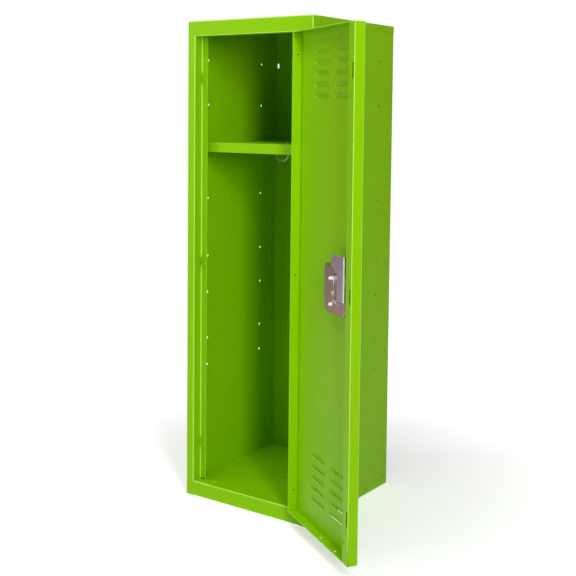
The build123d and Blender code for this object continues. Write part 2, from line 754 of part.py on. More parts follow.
with BuildPart() as latch_cup:
    with BuildSketch(Plane.XZ.offset(-cup_back)):
        with Locations((cup_x, cup_height)):
            RectangleRounded(cup_width - 2 * cup_room, cup_length - 2 * cup_room, cup_corner - cup_room)
    extrude(amount=cup_depth + cup_gauge)
    fillet(latch_cup.faces().sort_by(Axis.Y)[-1].edges(), cup_corner / 4)
    offset(amount=-cup_gauge, openings=latch_cup.faces().sort_by(Axis.Y)[0])
    with BuildSketch(Plane.XZ.offset(-front)):
        with Locations((cup_x, cup_height)):
            RectangleRounded(cup_width + 2 * cup_flange, cup_length + 2 * cup_flange, cup_corner + cup_flange)
            RectangleRounded(
                cup_width - 2 * (cup_room + cup_gauge),
                cup_length - 2 * (cup_room + cup_gauge),
                cup_corner - cup_room - cup_gauge,
                mode=Mode.SUBTRACT,
            )
    extrude(amount=cup_gauge)
    stud_slot = 2 * (stud_radius + stud_room)
    with BuildSketch(Plane.XZ.offset(-cup_back)):
        with Locations(*[(x, z + lift_travel / 2) for x, z in stud_places]):
            SlotOverall(stud_slot + lift_travel, stud_slot, rotation=90)
    extrude(amount=cup_gauge, mode=Mode.SUBTRACT)
finish(latch_cup, "latch_cup", on_door=True)

# ---- Latch cover: a stepped plate on a wall beside the cup ------------------------------------
cover_outer = cup_x - cover_near
cover_wide_x = cover_outer + cover_wide
cover_narrow_x = cover_outer + cover_narrow
cover_inside = bar_back + cover_gap
cover_floor = front + frame_gauge
arm_span = (cup_height + stud_heights[0] - arm_height / 2, cup_height + stud_heights[0] + arm_height / 2)

with BuildPart() as latch_cover:
    with BuildSketch(Plane.XZ.offset(-(cover_inside + cover_gauge))):
        with BuildLine():
            Polyline(
                (cover_outer, cup_height + cover_top),
                (cover_wide_x, cup_height + cover_top),
                (cover_wide_x, cup_height + cover_step),
                (cover_narrow_x, cup_height + cover_waist),
                (cover_narrow_x, cup_height + cover_bottom),
                (cover_outer, cup_height + cover_bottom),
                close=True,
            )
        make_face()
        with Locations(*[(cover_outer + x, cup_height + z) for x, z in cover_holes]):
            Circle(cover_hole / 2, mode=Mode.SUBTRACT)
    extrude(amount=cover_gauge)
    wall_span = (cup_height + cover_bottom, cup_height + cover_top)
    slab((cover_outer, cover_outer + cover_gauge), (cover_floor, cover_inside), wall_span)
    cover_outside = cover_inside + cover_gauge
    folds = latch_cover.edges().filter_by(Axis.Z).filter_by_position(Axis.Y, cover_inside, cover_outside)
    fillet(folds.group_by(Axis.X)[0].sort_by(Axis.Y)[-1], cover_gauge * 1.5)
    foot_span = (cup_height + cup_length / 2 + 2, cup_height + cover_top)
    slab((cover_wide_x - cover_gauge, cover_wide_x), (cover_floor, cover_inside), foot_span)
    slab(
        (cover_outer, cover_outer + cover_gauge),
        (bar_front - arm_room, bar_back + arm_room),
        (arm_span[0] - arm_room, arm_span[1] + lift_travel + arm_room),
        Mode.SUBTRACT,
    )
finish(latch_cover, "latch_cover", on_door=True)

# ---- Lift handle, its studs and caps, the arm and the bar -------------------------------------
pull_x = (stud_x - pull_width / 2, stud_x + pull_width / 2)
pull_back = cup_back - cup_gauge - pull_back_gap
pull_high = cup_height + pull_top
pull_low = cup_height + stud_heights[1] - 3 * stud_radius
pull_corners = (
    (front + pull_front, pull_high - pull_lip),
    (front + pull_front, pull_high),
    (pull_back, pull_high),
    (pull_back, pull_low),
)
pull_plane = Plane.YZ.offset(pull_x[0])
pull_sheet = folded_sheet(pull_plane, pull_corners, pull_width, pull_gauge, frame_bend, Side.RIGHT)

with BuildPart() as lift_handle:
    add(pull_sheet)
    bars_along_y(stud_places, (pull_back - pull_gauge, pull_back), stud_radius + rivet_room, Mode.SUBTRACT)
finish(lift_handle, "lift_handle", on_door=True)

with BuildPart() as latch_studs:
    stud_head = stud_radius * 1.7
    bars_along_y(stud_places, (pull_back - pull_gauge, bar_back + cap_length / 2), stud_radius)
    bars_along_y(stud_places, (pull_back - pull_gauge - rivet_rise, pull_back - pull_gauge), stud_head)
finish(latch_studs, "latch_studs", on_door=True)

with BuildPart() as stud_caps:
    cap_end = bar_back + cap_length
    bars_along_y(stud_places, (bar_back, cap_end), cap_radius)
    fillet(stud_caps.edges().group_by(Axis.Y)[-1], cap_radius * 0.8)
    bars_along_y(stud_places, (bar_back, bar_back + cap_length / 2), stud_radius + rivet_room, Mode.SUBTRACT)
finish(stud_caps, "stud_caps", on_door=True)

with BuildPart() as latch_arm:
    slab((bar_inner, stud_x + 2 * stud_radius), (bar_front, bar_back), arm_span)
    arm_end = latch_arm.edges().filter_by(Axis.Y).group_by(Axis.X)[-1]
    fillet(arm_end, 2 * stud_radius)
    bars_along_y(stud_places[:1], (bar_front, bar_back), stud_radius + rivet_room, Mode.SUBTRACT)
finish(latch_arm, "latch_arm", on_door=True)

bar_low = catch_heights[-1][1] - bar_end
bar_high = catch_heights[0][1] + catch_rise + bar_end
notch_x = (free_edge, catch_x + catch_gauge / 2 + notch_margin)

with BuildPart() as latch_bar:
    slab((bar_outer, bar_inner), (bar_front, bar_back), (bar_low, bar_high))
    for _, low in catch_heights:
        notch_z = (low - lift_travel - bar_low_room, low + catch_shank + bar_latch_room)
        slab(notch_x, (bar_front, bar_back), notch_z, Mode.SUBTRACT)
    # The bar clears the upper round hole of the return lip over the whole lift.
    clear_x = (hole_x - lip_hole / 2 - bar_edge_gap, bar_inner)
    clear_z = (lip_hole_places[0][1] - lip_hole - lift_travel, lip_hole_places[0][1] + lip_hole)
    slab(clear_x, (bar_front, bar_back), clear_z, Mode.SUBTRACT)
finish(latch_bar, "latch_bar", on_door=True)

with BuildPart() as bar_guides:
    strap_y = (bar_front - bar_gap - guide_gauge, bar_front - bar_gap)
    for middle in (door_middle - guide_spread / 2, door_middle + guide_spread / 2):
        guide_z = (middle - guide_height / 2, middle + guide_height / 2)
        leg_x = (bar_inner + bar_gap, bar_inner + bar_gap + guide_gauge)
        slab((free_edge + frame_gauge, leg_x[1]), strap_y, guide_z)
        slab(leg_x, (strap_y[0], lip_front), guide_z)
finish(bar_guides, "bar_guides", on_door=True)

# ---- Return spring and the clip that holds its tail -------------------------------------------
spring_y = bar_back + bar_gap + spring_wire / 2
clip_x = (cover_narrow_x + cover_gauge, stud_x - cap_radius - clip_room)
clip_z = tuple(cup_height + z for z in clip_heights)
clip_top = spring_y + spring_wire / 2 + bar_gap

with BuildPart() as spring_clip:
    slab(clip_x, (clip_top, clip_top + clip_gauge), clip_z)
    slab((clip_x[0], clip_x[0] + clip_gauge), (cup_back, clip_top), clip_z)
    slab((clip_x[1] - clip_gauge, clip_x[1]), (cup_back, clip_top), clip_z)
finish(spring_clip, "spring_clip", on_door=True)

coil_x = stud_x - spring_coil_side
coil_z = cup_height - spring_coil_drop
run_x = coil_x - spring_coil

with BuildPart() as return_spring:
    with BuildLine() as spring_path:
        FilletPolyline(
            (stud_x - cap_radius - spring_wire, spring_y, cup_height + stud_heights[0]),
            (run_x, spring_y, coil_z + 2 * spring_coil),
            (run_x, spring_y, clip_z[1] - spring_anchor),
            radius=spring_coil,
        )
    with BuildSketch(spring_path.line ^ 0):
        Circle(spring_wire / 2)
    sweep(path=spring_path.line)
    with Locations(Plane.XZ.offset(-(spring_y + spring_wire)) * Pos(coil_x, coil_z, 0)):
        Torus(spring_coil, spring_wire / 2)
finish(return_spring, "return_spring", on_door=True)
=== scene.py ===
# %% [markdown]
# A school locker, one tier high, folded from green powder-coated sheet steel.
# The CAD part is the fixed frame: every piece below takes its place from it, in metres.
# Pieces that the CAD already shapes well are copied and get eased arrises; the front frame, the door,
# the rivets, the latch cup and its cover, the stud caps and the return spring are made again here with
# the softness of the real ones.

# %% Load the frame
import json
import math
import bpy
import bmesh
from mathutils import Matrix, Vector, geometry

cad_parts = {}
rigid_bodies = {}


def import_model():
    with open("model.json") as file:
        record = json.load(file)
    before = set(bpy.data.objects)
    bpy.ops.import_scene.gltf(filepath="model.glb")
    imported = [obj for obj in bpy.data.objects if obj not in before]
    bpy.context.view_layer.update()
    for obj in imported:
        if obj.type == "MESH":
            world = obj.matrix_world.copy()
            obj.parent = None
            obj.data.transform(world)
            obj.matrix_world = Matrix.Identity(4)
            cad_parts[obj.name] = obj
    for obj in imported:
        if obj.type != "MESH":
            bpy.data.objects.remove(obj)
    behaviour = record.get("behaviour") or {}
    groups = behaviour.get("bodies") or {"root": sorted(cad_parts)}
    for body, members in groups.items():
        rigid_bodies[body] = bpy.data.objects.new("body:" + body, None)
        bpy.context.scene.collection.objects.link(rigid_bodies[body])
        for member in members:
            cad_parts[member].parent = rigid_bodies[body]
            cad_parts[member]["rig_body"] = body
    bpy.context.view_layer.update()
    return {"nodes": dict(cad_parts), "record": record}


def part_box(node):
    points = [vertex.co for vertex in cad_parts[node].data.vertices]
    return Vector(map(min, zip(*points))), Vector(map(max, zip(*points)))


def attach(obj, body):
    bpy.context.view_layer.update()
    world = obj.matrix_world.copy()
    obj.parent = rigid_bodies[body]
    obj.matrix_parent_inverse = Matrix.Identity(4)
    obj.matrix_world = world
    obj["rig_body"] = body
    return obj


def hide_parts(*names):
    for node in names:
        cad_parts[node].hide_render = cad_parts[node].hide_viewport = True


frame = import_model()
MM = 0.001
scene = bpy.context.scene
scene.view_settings.view_transform = "Standard"

# %% [markdown]
# The camera stands a little above half height, well out in front and to the right, so the open door
# faces it edge on. Its lens is long. Tilting a camera down makes uprights lean together, so it is tilted
# only a little, and a vertical shift of the lens brings the whole height into view instead.

# %% Camera
YAW, PITCH, ROLL = math.radians(35.337), math.radians(3.728), math.radians(0.572)
CAMERA_PLACE = (1.53555, -2.19524, 0.98697)
SENSOR, LENS = 36.0, 64.55
SHIFT_X, SHIFT_Y = 0.0056, -0.1844
camera_data = bpy.data.cameras.new("camera")
camera_data.sensor_width = SENSOR
camera_data.lens = LENS
camera_data.shift_x = SHIFT_X
camera_data.shift_y = SHIFT_Y
camera = bpy.data.objects.new("camera", camera_data)
scene.collection.objects.link(camera)
ahead = Vector((-math.sin(YAW) * math.cos(PITCH), math.cos(YAW) * math.cos(PITCH), -math.sin(PITCH)))
level = Vector((math.cos(YAW), math.sin(YAW), 0))
upright = level.cross(ahead)
right = level * math.cos(ROLL) + upright * math.sin(ROLL)
up = upright * math.cos(ROLL) - level * math.sin(ROLL)
turn = Matrix((right, up, -ahead)).transposed().to_4x4()
camera.matrix_world = Matrix.Translation(CAMERA_PLACE) @ turn
scene.camera = camera
print("camera at", [round(x, 3) for x in camera.matrix_world.translation])

# %% [markdown]
# A studio uses soft boxes, which leave long smooth gleams on painted sheet. The strongest one here is
# tall and narrow and stands at the right, so the door's skin and the right side glow. A wider and weaker
# one at the left fills the shadows, and one overhead catches the top edges. Lamps that are points would
# leave hard spots, so all three are rectangular area lights. The surround is seen as plain white but
# lights only faintly: reflected at full strength it would wash the green out.

# %% Lights and surround


def soft_box(name, place, target, size, watts):
    """A rectangular area light that looks at a point."""
    light = bpy.data.lights.new(name, "AREA")
    light.shape = "RECTANGLE"
    light.size, light.size_y = size
    light.energy = watts
    box = bpy.data.objects.new(name, light)
    box.location = place
    box.rotation_euler = (Vector(target) - Vector(place)).to_track_quat("-Z", "Y").to_euler()
    scene.collection.objects.link(box)


MIDDLE, WAIST = (0, 0, 0.62), (0, 0, 0.6)
soft_box("right box", place=(2.60, -2.34, 1.95), target=MIDDLE, size=(0.55, 1.9), watts=70)
soft_box("left box", place=(-2.76, -2.31, 1.55), target=MIDDLE, size=(0.7, 2.2), watts=31)
soft_box("high box", place=(0.1, -1.3, 3.3), target=WAIST, size=(1.8, 1.2), watts=30)

# %% Surround
WHITE = (1.0, 1.0, 1.0, 1.0)
SURROUND_LIGHTS, SURROUND_SEEN = 0.13, 1.0
world = bpy.data.worlds.new("studio")
world.use_nodes = True
scene.world = world
surround = world.node_tree
surround.nodes.clear()
straight = surround.nodes.new("ShaderNodeLightPath")
mixer = surround.nodes.new("ShaderNodeMixShader")
surround.links.new(straight.outputs["Is Camera Ray"], mixer.inputs[0])
for number, strength in ((1, SURROUND_LIGHTS), (2, SURROUND_SEEN)):
    background = surround.nodes.new("ShaderNodeBackground")
    background.inputs["Color"].default_value = WHITE
    background.inputs["Strength"].default_value = strength
    surround.links.new(background.outputs[0], mixer.inputs[number])
out = surround.nodes.new("ShaderNodeOutputWorld")
surround.links.new(mixer.outputs[0], out.inputs[0])
print("surround nodes:", len(surround.nodes))

# %% [markdown]
# Node trees read best as sums. The class below wraps one socket, so that an expression such as
# `base + 0.1 * spots` adds its own Math nodes. Every other node comes from `Net.add`, which takes a
# node's type, its settings and the values or links of its sockets. It serves shaders and geometry alike.

# %% A small node language


class Wire:
    """One output socket, which can be added, multiplied and so on."""

    def __init__(self, net, socket):
        self.net = net
        self.socket = socket

    def math(self, operation, *others, flip=False):
        operands = [self, *others][::-1] if flip else [self, *others]
        return self.net.add("ShaderNodeMath", {"operation": operation}, dict(enumerate(operands)))

    def __add__(self, other):
        return self.math("ADD", other)

    def __sub__(self, other):
        return self.math("SUBTRACT", other)

    def __rsub__(self, other):
        return self.math("SUBTRACT", other, flip=True)

    def __mul__(self, other):
        return self.math("MULTIPLY", other)

    def __truediv__(self, other):
        return self.math("DIVIDE", other)

    def __rtruediv__(self, other):
        return self.math("DIVIDE", other, flip=True)

    def __pow__(self, other):
        return self.math("POWER", other)

    def __gt__(self, other):
        return self.math("GREATER_THAN", other)

    __rmul__ = __mul__


class Net:
    """A node tree that is filled one node at a time."""

    def __init__(self, tree):
        self.tree = tree

    def add(self, kind, settings=None, sockets=None, output=0):
        node = self.tree.nodes.new(kind)
        for name, value in (settings or {}).items():
            setattr(node, name, value)
        for key, value in (sockets or {}).items():
            if isinstance(value, Wire):
                self.tree.links.new(value.socket, node.inputs[key])
            elif value is not None:
                node.inputs[key].default_value = value
        return Wire(self, node.outputs[output]) if len(node.outputs) else node


print("node language ready")

# %% [markdown]
# Every finish is made in the same way: noises on the object's own coordinates give a tone, a gloss and
# a relief, and one shader takes them. Object coordinates keep the grain the same size on every piece and
# need no unwrapping. The helpers below make a noise, map one range onto another, and close the shader.

# %% Helpers for finishes
NOISE_LOW, NOISE_HIGH = 0.3, 0.7
MIX_FACTOR, MIX_FIRST, MIX_SECOND, MIX_RESULT = 0, 6, 7, 2


def surface(name):
    """A new material with its tree and the object coordinates."""
    material = bpy.data.materials.new(name)
    material.use_nodes = True
    material.node_tree.nodes.clear()
    net = Net(material.node_tree)
    coordinates = net.add("ShaderNodeTexCoord", output="Object")
    return material, net, coordinates


def noise(net, coordinates, scale, detail=2.0, roughness=0.5):
    sockets = {"Vector": coordinates, "Scale": scale, "Detail": detail, "Roughness": roughness}
    return net.add("ShaderNodeTexNoise", {}, sockets, "Fac")


def mapped(net, value, start, end, low, high, **settings):
    """A value that runs from start to end, mapped to run from low to high."""
    return net.add("ShaderNodeMapRange", settings, {0: value, 1: start, 2: end, 3: low, 4: high})


def spread(net, value, low, high):
    """A noise, which seldom leaves its middle range, spread from low to high."""
    return mapped(net, value, NOISE_LOW, NOISE_HIGH, low, high)


def blend(net, factor, first, second):
    """One colour at factor 0 and another at factor 1."""
    sockets = {MIX_FACTOR: factor, MIX_FIRST: first, MIX_SECOND: second}
    return net.add("ShaderNodeMix", {"data_type": "RGBA"}, sockets, MIX_RESULT)


def stretched(net, coordinates, scale):
    return net.add("ShaderNodeMapping", {}, {"Vector": coordinates, "Scale": scale})


def close(net, colour, roughness, metallic, bump, strength, distance, **constants):
    """The shader of a finish, with its bump, and the output."""
    relief = net.add("ShaderNodeBump", {}, {"Strength": strength, "Distance": distance, "Height": bump})
    sockets = {"Base Color": colour, "Roughness": roughness, "Metallic": metallic, "Normal": relief}
    shader = net.add("ShaderNodeBsdfPrincipled", {}, {**sockets, **constants})
    net.add("ShaderNodeOutputMaterial", {}, {"Surface": shader})


print("finish helpers ready")

# %% [markdown]
# The green is a polyester powder coat: it flows out in the oven but keeps a faint orange peel and looks
# evenly satin. Noises at different scales give the peel, the slow drift of the tone, the fine unevenness
# of the gloss and its handled patches. The folds get a lighter green of their own: a painted highlight
# for the light that their tight curves catch. The inside of the door's lip channel gets a near-black
# green, painted shade for the dark there, and so does the stem sunk in the bore of a blind rivet.

# %% Powder coat
DRIFT_SCALE, CLOUD_SCALE, SPECK_SCALE = 3.5, 38.0, 900.0
GLOSS_SCALE, PEEL_SCALE, FINE_PEEL_SCALE = 160.0, 420.0, 1300.0
SPECK = (0.02, 0.05, 0.002, 1.0)
COAT_LOOK = {
    "Specular IOR Level": 0.28, "Specular Tint": (0.50, 1.0, 0.08, 1.0), "Coat Weight": 0.10,
    "Coat Roughness": 0.10,
}


def powder_coat(name, full, thin):
    """Satin powder coat in one green, that drifts slightly towards another."""
    material, net, at = surface(name)
    drift = spread(net, noise(net, at, DRIFT_SCALE, 3.0), 0.0, 1.0)
    cloud = spread(net, noise(net, at, CLOUD_SCALE, 4.0, 0.6), 0.0, 1.0)
    specks = spread(net, noise(net, at, SPECK_SCALE, 1.0), 0.0, 0.05)
    tone = blend(net, drift * 0.5 + cloud * 0.25, (*full, 1.0), (*thin, 1.0))
    tone = blend(net, specks, tone, SPECK)
    handled = spread(net, noise(net, stretched(net, at, (9.0, 9.0, 3.0)), 1.0, 5.0, 0.65), -0.05, 0.05)
    gloss = spread(net, noise(net, at, GLOSS_SCALE, 2.0), 0.33, 0.41) + handled
    peel = noise(net, at, PEEL_SCALE, 2.0, 0.45) + 0.35 * noise(net, at, FINE_PEEL_SCALE, 1.0)
    close(net, tone, gloss, 0.0, peel, 0.16, 0.0006, **COAT_LOOK)
    return material


GREEN = powder_coat("powder_coat_green", (0.285, 0.615, 0.0015), (0.250, 0.570, 0.001))
# A lighter green for folds and cut rims: a painted highlight.
FOLD_PAINTED_HIGHLIGHT = powder_coat("painted_highlight_on_folds", (0.50, 0.90, 0.12), (0.42, 0.82, 0.07))
# A near-black green for the lip channel, the latch bar and its guides: painted shade.
CHANNEL_PAINTED_SHADE = powder_coat("painted_shade_in_lip_channel", (0.036, 0.080, 0.003), (0.026, 0.060, 0.002))
# A near-black green for the stem sunk in each rivet's bore: painted shade.
STEM_PAINTED_SHADE = powder_coat("painted_shade_on_rivet_stem", (0.010, 0.020, 0.004), (0.006, 0.012, 0.003))
print("coats:", [m.name for m in bpy.data.materials if m.node_tree])

# %% [markdown]
# The latch cup and its cover are stainless sheet. Rolling leaves fine lines along one way, so the noise
# that makes them is squeezed along one axis until its blobs become streaks, and the streaks drive both
# tone and gloss. Next to so much green the latch looks faintly rosy, so the steel's own tone leans to
# red. Where it mirrors less green, as the cup does when the door is shut, it looks pinker than bare
# stainless would. The zinc plate of the small parts is neutral, and its grain runs no particular way.
# The caps are milky nylon, which is smooth and only faintly cloudy.

# %% Metals and nylon
ALONG_X, ALONG_Z, NO_WAY = (60, 60, 2600), (2400, 60, 60), (900, 900, 900)


def brushed_metal(name, light, dark, grain, rough, metallic=1.0):
    """Rolled or brushed metal: fine lines along one axis over a cloudy tone."""
    material, net, at = surface(name)
    lines = noise(net, stretched(net, at, grain), 1.0, 3.0, 0.6)
    cloud = spread(net, noise(net, at, 55.0, 3.0), 0.0, 1.0)
    tone = blend(net, cloud * 0.6 + spread(net, lines, 0.0, 0.4), (*light, 1.0), (*dark, 1.0))
    gloss = spread(net, lines, rough - 0.06, rough + 0.08) + 0.05 * cloud
    close(net, tone, gloss, metallic, lines, 0.25, 0.0002)
    return material


def nylon(name, light, shade):
    """Moulded nylon: milky, faintly waxy, with a soft moulding texture."""
    material, net, at = surface(name)
    cloud = spread(net, noise(net, at, 220.0, 3.0), 0.0, 1.0)
    tone = blend(net, cloud * 0.5, (*light, 1.0), (*shade, 1.0))
    gloss = spread(net, noise(net, at, 700.0, 2.0), 0.3, 0.42)
    close(net, tone, gloss, 0.0, noise(net, at, 900.0, 2.0), 0.12, 0.0003)
    return material


STAINLESS = brushed_metal("drawn_stainless", (0.70, 0.42, 0.41), (0.50, 0.28, 0.27), ALONG_X, 0.30)
COVER_STEEL = brushed_metal("rolled_cover_steel", (0.84, 0.58, 0.73), (0.66, 0.43, 0.57), ALONG_Z, 0.28)
ZINC = brushed_metal("bright_zinc_plate", (0.82, 0.84, 0.86), (0.62, 0.64, 0.67), NO_WAY, 0.26)
# A near-white metal for the cover's bend and cut rims: a painted highlight.
BEND_PAINTED_HIGHLIGHT = brushed_metal("painted_highlight_on_cover_bend", (0.98, 1.0, 0.96), (0.90, 0.94, 0.88), ALONG_Z, 0.2, 0.6)
WHITE_NYLON = nylon("white_nylon", (0.93, 0.93, 0.95), (0.82, 0.83, 0.87))
print("finishes:", len([m for m in bpy.data.materials if m.node_tree]))

# %% [markdown]
# The panels and the shelf are sheared and punched sheet, whose arrises the coating rounds over. Drawing
# them again would repeat the CAD, so each is a copy of its CAD node: the triangles are merged, the flats
# are dissolved to whole faces, and a small bevel with weighted normals eases every arris.

# %% Giving a finish and a place


def give(piece, body, slot, material, *nodes):
    """The piece takes its finish or finishes, rides on its body and stands for its CAD nodes."""
    for finish in material if isinstance(material, tuple) else (material,):
        piece.data.materials.append(finish)
    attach(piece, body)
    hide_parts(*nodes)
    return piece


def new_piece(name, mesh):
    piece = bpy.data.objects.new(name, mesh)
    scene.collection.objects.link(piece)
    return piece


print("pieces can be made and given")

# %% Eased copies of CAD pieces
WELD, FLAT_ANGLE = 0.002 * MM, math.radians(0.25)


def ease(piece, width, angle=35.0, segments=2):
    """Rounds the arrises sharper than an angle and evens the shading."""
    for polygon in piece.data.polygons:
        polygon.use_smooth = True
    piece.data.set_sharp_from_angle(angle=math.radians(angle))
    bevel = piece.modifiers.new("eased arrises", "BEVEL")
    bevel.width = width
    bevel.segments = segments
    bevel.limit_method = "ANGLE"
    bevel.angle_limit = math.radians(angle)
    bevel.use_clamp_overlap = False
    normals = piece.modifiers.new("even shading", "WEIGHTED_NORMAL")
    normals.keep_sharp = True
    normals.weight = 100
    return piece


def kept_in_box(piece, node):
    """Fixes the eased mesh and holds it in its node's box; a bevel can overshoot at a narrow corner."""
    graph = bpy.context.evaluated_depsgraph_get()
    mesh = bpy.data.meshes.new_from_object(piece.evaluated_get(graph), depsgraph=graph)
    low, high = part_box(node)
    for vertex in mesh.vertices:
        vertex.co = [min(max(vertex.co[i], low[i]), high[i]) for i in range(3)]
    piece.modifiers.clear()
    piece.data = mesh
    return piece


def eased_copy(node, slot, material, width=0.2 * MM):
    """A merged copy of one CAD node with eased arrises."""
    source = frame["nodes"][node]
    form = bmesh.new()
    form.from_mesh(source.data)
    bmesh.ops.remove_doubles(form, verts=form.verts, dist=WELD)
    bmesh.ops.dissolve_limit(form, angle_limit=FLAT_ANGLE, verts=form.verts, edges=form.edges)
    mesh = bpy.data.meshes.new(node + "_sheet")
    form.to_mesh(mesh)
    form.free()
    piece = ease(new_piece(node + "_made", mesh), width)
    return give(kept_in_box(piece, node), source["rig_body"], slot, material, node)


for node in ("side_panel_left", "side_panel_right", "back_panel", "top_panel", "floor_panel", "shelf"):
    eased_copy(node, "green_enamel", GREEN)
print("sheet pieces eased")

# %% [markdown]
# The front frame, the door and the latch cover are folded sheet. A box with a hollow cut from it would
# lose their bends. Folded sheet is easier to draw as one skin without thickness: flat faces that share
# their fold lines. The fold lines are bevelled to the bend radius and marked with a finish number of
# their own, which carries a painted highlight, the holes are punched into the flats, and a Solidify
# modifier gives the gauge last, so the inside of every bend follows its outside. Solidify also moves the
# finish numbers on: by one number at the cut rims, so that the rims of the plain skin take the painted
# highlight too, and by three on the inner wall.

# %% Skins and folds


def skin_of(faces):
    """A skin from lists of corner points in millimetres; points that meet are shared."""
    form = bmesh.new()
    corners = {}
    for face in faces:
        ring = []
        for point in face:
            key = tuple(round(value, 3) for value in point)
            if key not in corners:
                corners[key] = form.verts.new(Vector(key) * MM)
            ring.append(corners[key])
        form.faces.new(ring)
    form.normal_update()
    return form


# Numbers 0, 1 and 2 are the skin, its folds and the skin round the door's lip channel; 3, 4 and 5 are
# the inner walls behind them. The folds carry the painted highlight, and the inner wall of the channel
# carries the painted shade.
ON_FOLD, IN_CHANNEL = 1, 2
TO_INNER_WALL, TO_RIM = 3, 1
SHEET_FINISHES = (GREEN, FOLD_PAINTED_HIGHLIGHT, GREEN, GREEN, GREEN, CHANNEL_PAINTED_SHADE)
FOLD_ANGLE = 0.5


def fold(form, radius, keep_sharp=lambda edge: False, segments=4):
    """Bevels every fold line to the bend radius; the new faces take the fold's number, a painted highlight.
    """
    lines = [e for e in form.edges if len(e.link_faces) == 2 and e.calc_face_angle() > FOLD_ANGLE]
    lines = [e for e in lines if not keep_sharp(e)]
    bmesh.ops.bevel(form, geom=lines, offset=radius, segments=segments, profile=0.5, affect="EDGES",
                    clamp_overlap=True, material=ON_FOLD)
    form.normal_update()


def flat_at(form, axis, value, facing):
    """The largest face that lies at a value of an axis, in millimetres, and faces along it."""
    found = [f for f in form.faces if abs(f.normal[axis] - facing) < 0.01
             and abs(f.calc_center_median()[axis] - value * MM) < 0.01 * MM]
    return max(found, key=lambda f: f.calc_area())


print("skins can be folded")

# %% [markdown]
# Holes could be cut with a Boolean modifier, but on a thin skin that leaves long slivers and stray points.
# A flat face can be punched exactly instead: its rim and the hole outlines are handed to a triangulation
# that keeps every given line, and the triangles that fall inside a hole are left out. The rim's own
# points are used again, so the punched face stays joined to its folds.

# %% Punching
INSIDE_THE_RIM = 1
TOUCH = 1e-9


def inside(point, loop):
    """Whether a flat point lies inside a loop of flat points."""
    odd = False
    for first, second in zip(loop, loop[1:] + loop[:1]):
        if (first.y > point.y) != (second.y > point.y):
            share = (point.y - first.y) / (second.y - first.y)
            if point.x < first.x + share * (second.x - first.x):
                odd = not odd
    return odd


def punch(form, face, loops):
    """Replaces a flat face by the same face with holes; each loop is a list of points in metres."""
    normal, origin = face.normal.copy(), face.verts[0].co.copy()
    across = (face.verts[1].co - origin).normalized()
    along = normal.cross(across)
    rings = [[v.co.copy() for v in face.verts]] + [[Vector(p) for p in loop] for loop in loops]
    points, edges = [], []
    for ring in rings:
        first = len(points)
        points += ring
        edges += [(first + i, first + (i + 1) % len(ring)) for i in range(len(ring))]
    flat = [Vector(((p - origin).dot(across), (p - origin).dot(along))) for p in points]
    found, _, triangles, sources, _, _ = geometry.delaunay_2d_cdt(flat, edges, [], INSIDE_THE_RIM, TOUCH)
    rim = list(face.verts)
    holes, start = [], len(rim)
    for loop in loops:
        holes.append(flat[start:start + len(loop)])
        start += len(loop)
    boxes = [(min(p.x for p in hole), max(p.x for p in hole), min(p.y for p in hole), max(p.y for p in hole))
             for hole in holes]
    bmesh.ops.delete(form, geom=[face], context="FACES_ONLY")
    made = []
    for place, source in zip(found, sources):
        old = next((i for i in source if i < len(rim)), None)
        if old is None:
            made.append(form.verts.new(origin + across * place.x + along * place.y))
        else:
            made.append(rim[old])
    for triangle in triangles:
        middle = sum((found[i] for i in triangle), Vector((0, 0))) / len(triangle)
        near = [h for h, b in zip(holes, boxes) if b[0] < middle.x < b[1] and b[2] < middle.y < b[3]]
        if not any(inside(middle, hole) for hole in near):
            form.faces.new([made[i] for i in triangle])
    form.normal_update()


def round_loop(centre, radius, plane, count=20):
    """A circle of points; plane is the pair of axis numbers it lies in."""
    return long_loop(centre, radius, 0.0, plane, count)


def long_loop(centre, radius, straight, plane, count=20):
    """A slot: a circle drawn out by a straight length along the plane's second axis."""
    loop = []
    for step in range(count):
        angle = 2 * math.pi * (step + 0.5) / count
        point = list(centre)
        point[plane[0]] += radius * math.cos(angle)
        shift = straight / 2 if math.sin(angle) > 0 else -straight / 2
        point[plane[1]] += radius * math.sin(angle) + shift
        loop.append(Vector(point) * MM)
    return loop


print("flats can be punched")

# %% Giving gauge


def folded_piece(name, form, gauge, rim=0.15 * MM):
    """A piece from a finished skin: gauge behind the skin, eased rims, even shading."""
    bmesh.ops.remove_doubles(form, verts=form.verts, dist=0.001 * MM)
    mesh = bpy.data.meshes.new(name)
    form.to_mesh(mesh)
    form.free()
    piece = new_piece(name, mesh)
    thick = piece.modifiers.new("gauge", "SOLIDIFY")
    thick.thickness = gauge * MM
    thick.offset = -1.0
    thick.use_even_offset = True
    thick.material_offset = TO_INNER_WALL
    thick.material_offset_rim = TO_RIM
    return ease(piece, rim, 40.0)


print("skins can take their gauge")

# %% [markdown]
# The front frame is two uprights, a header and a sill, welded at the corners and ground flush, so it
# shows as one ring. Its faces turn back round the outside, and inwards to a strike lip for the door. The
# left half is written down and mirrored, and the whole ring is folded as one skin, which gives the welded
# corners their closed, even look.

# %% Front frame sizes
HALF, FRONT, HEIGHT = 190.5, -190.5, 1219.2
OPENING, SILL, HEADER = 167.0, 38.1, 1181.1
WRAP, STRIKE, LIP_EDGE = FRONT + 28.0, -162.5, 149.0
HEADER_BACK, LEDGE_BACK, FOOT_BACK, LEDGE_NOTCH = -165.2, -156.0, -170.5, 149.3
LEDGE_SLOT_X, LEDGE_SLOT_Y, LEDGE_SLOT_R, LEDGE_SLOT_RUN = 116.0, -164.0, 3.0, 8.0
SHEET = 1.5
BEND = 2.4
print("opening:", 2 * OPENING, "x", round(HEADER - SILL, 1), "mm")

# %% Front frame


def mirrored(face):
    """The face's mirror image across the middle, still facing outwards."""
    return [(-x, y, z) for x, y, z in reversed(face)]


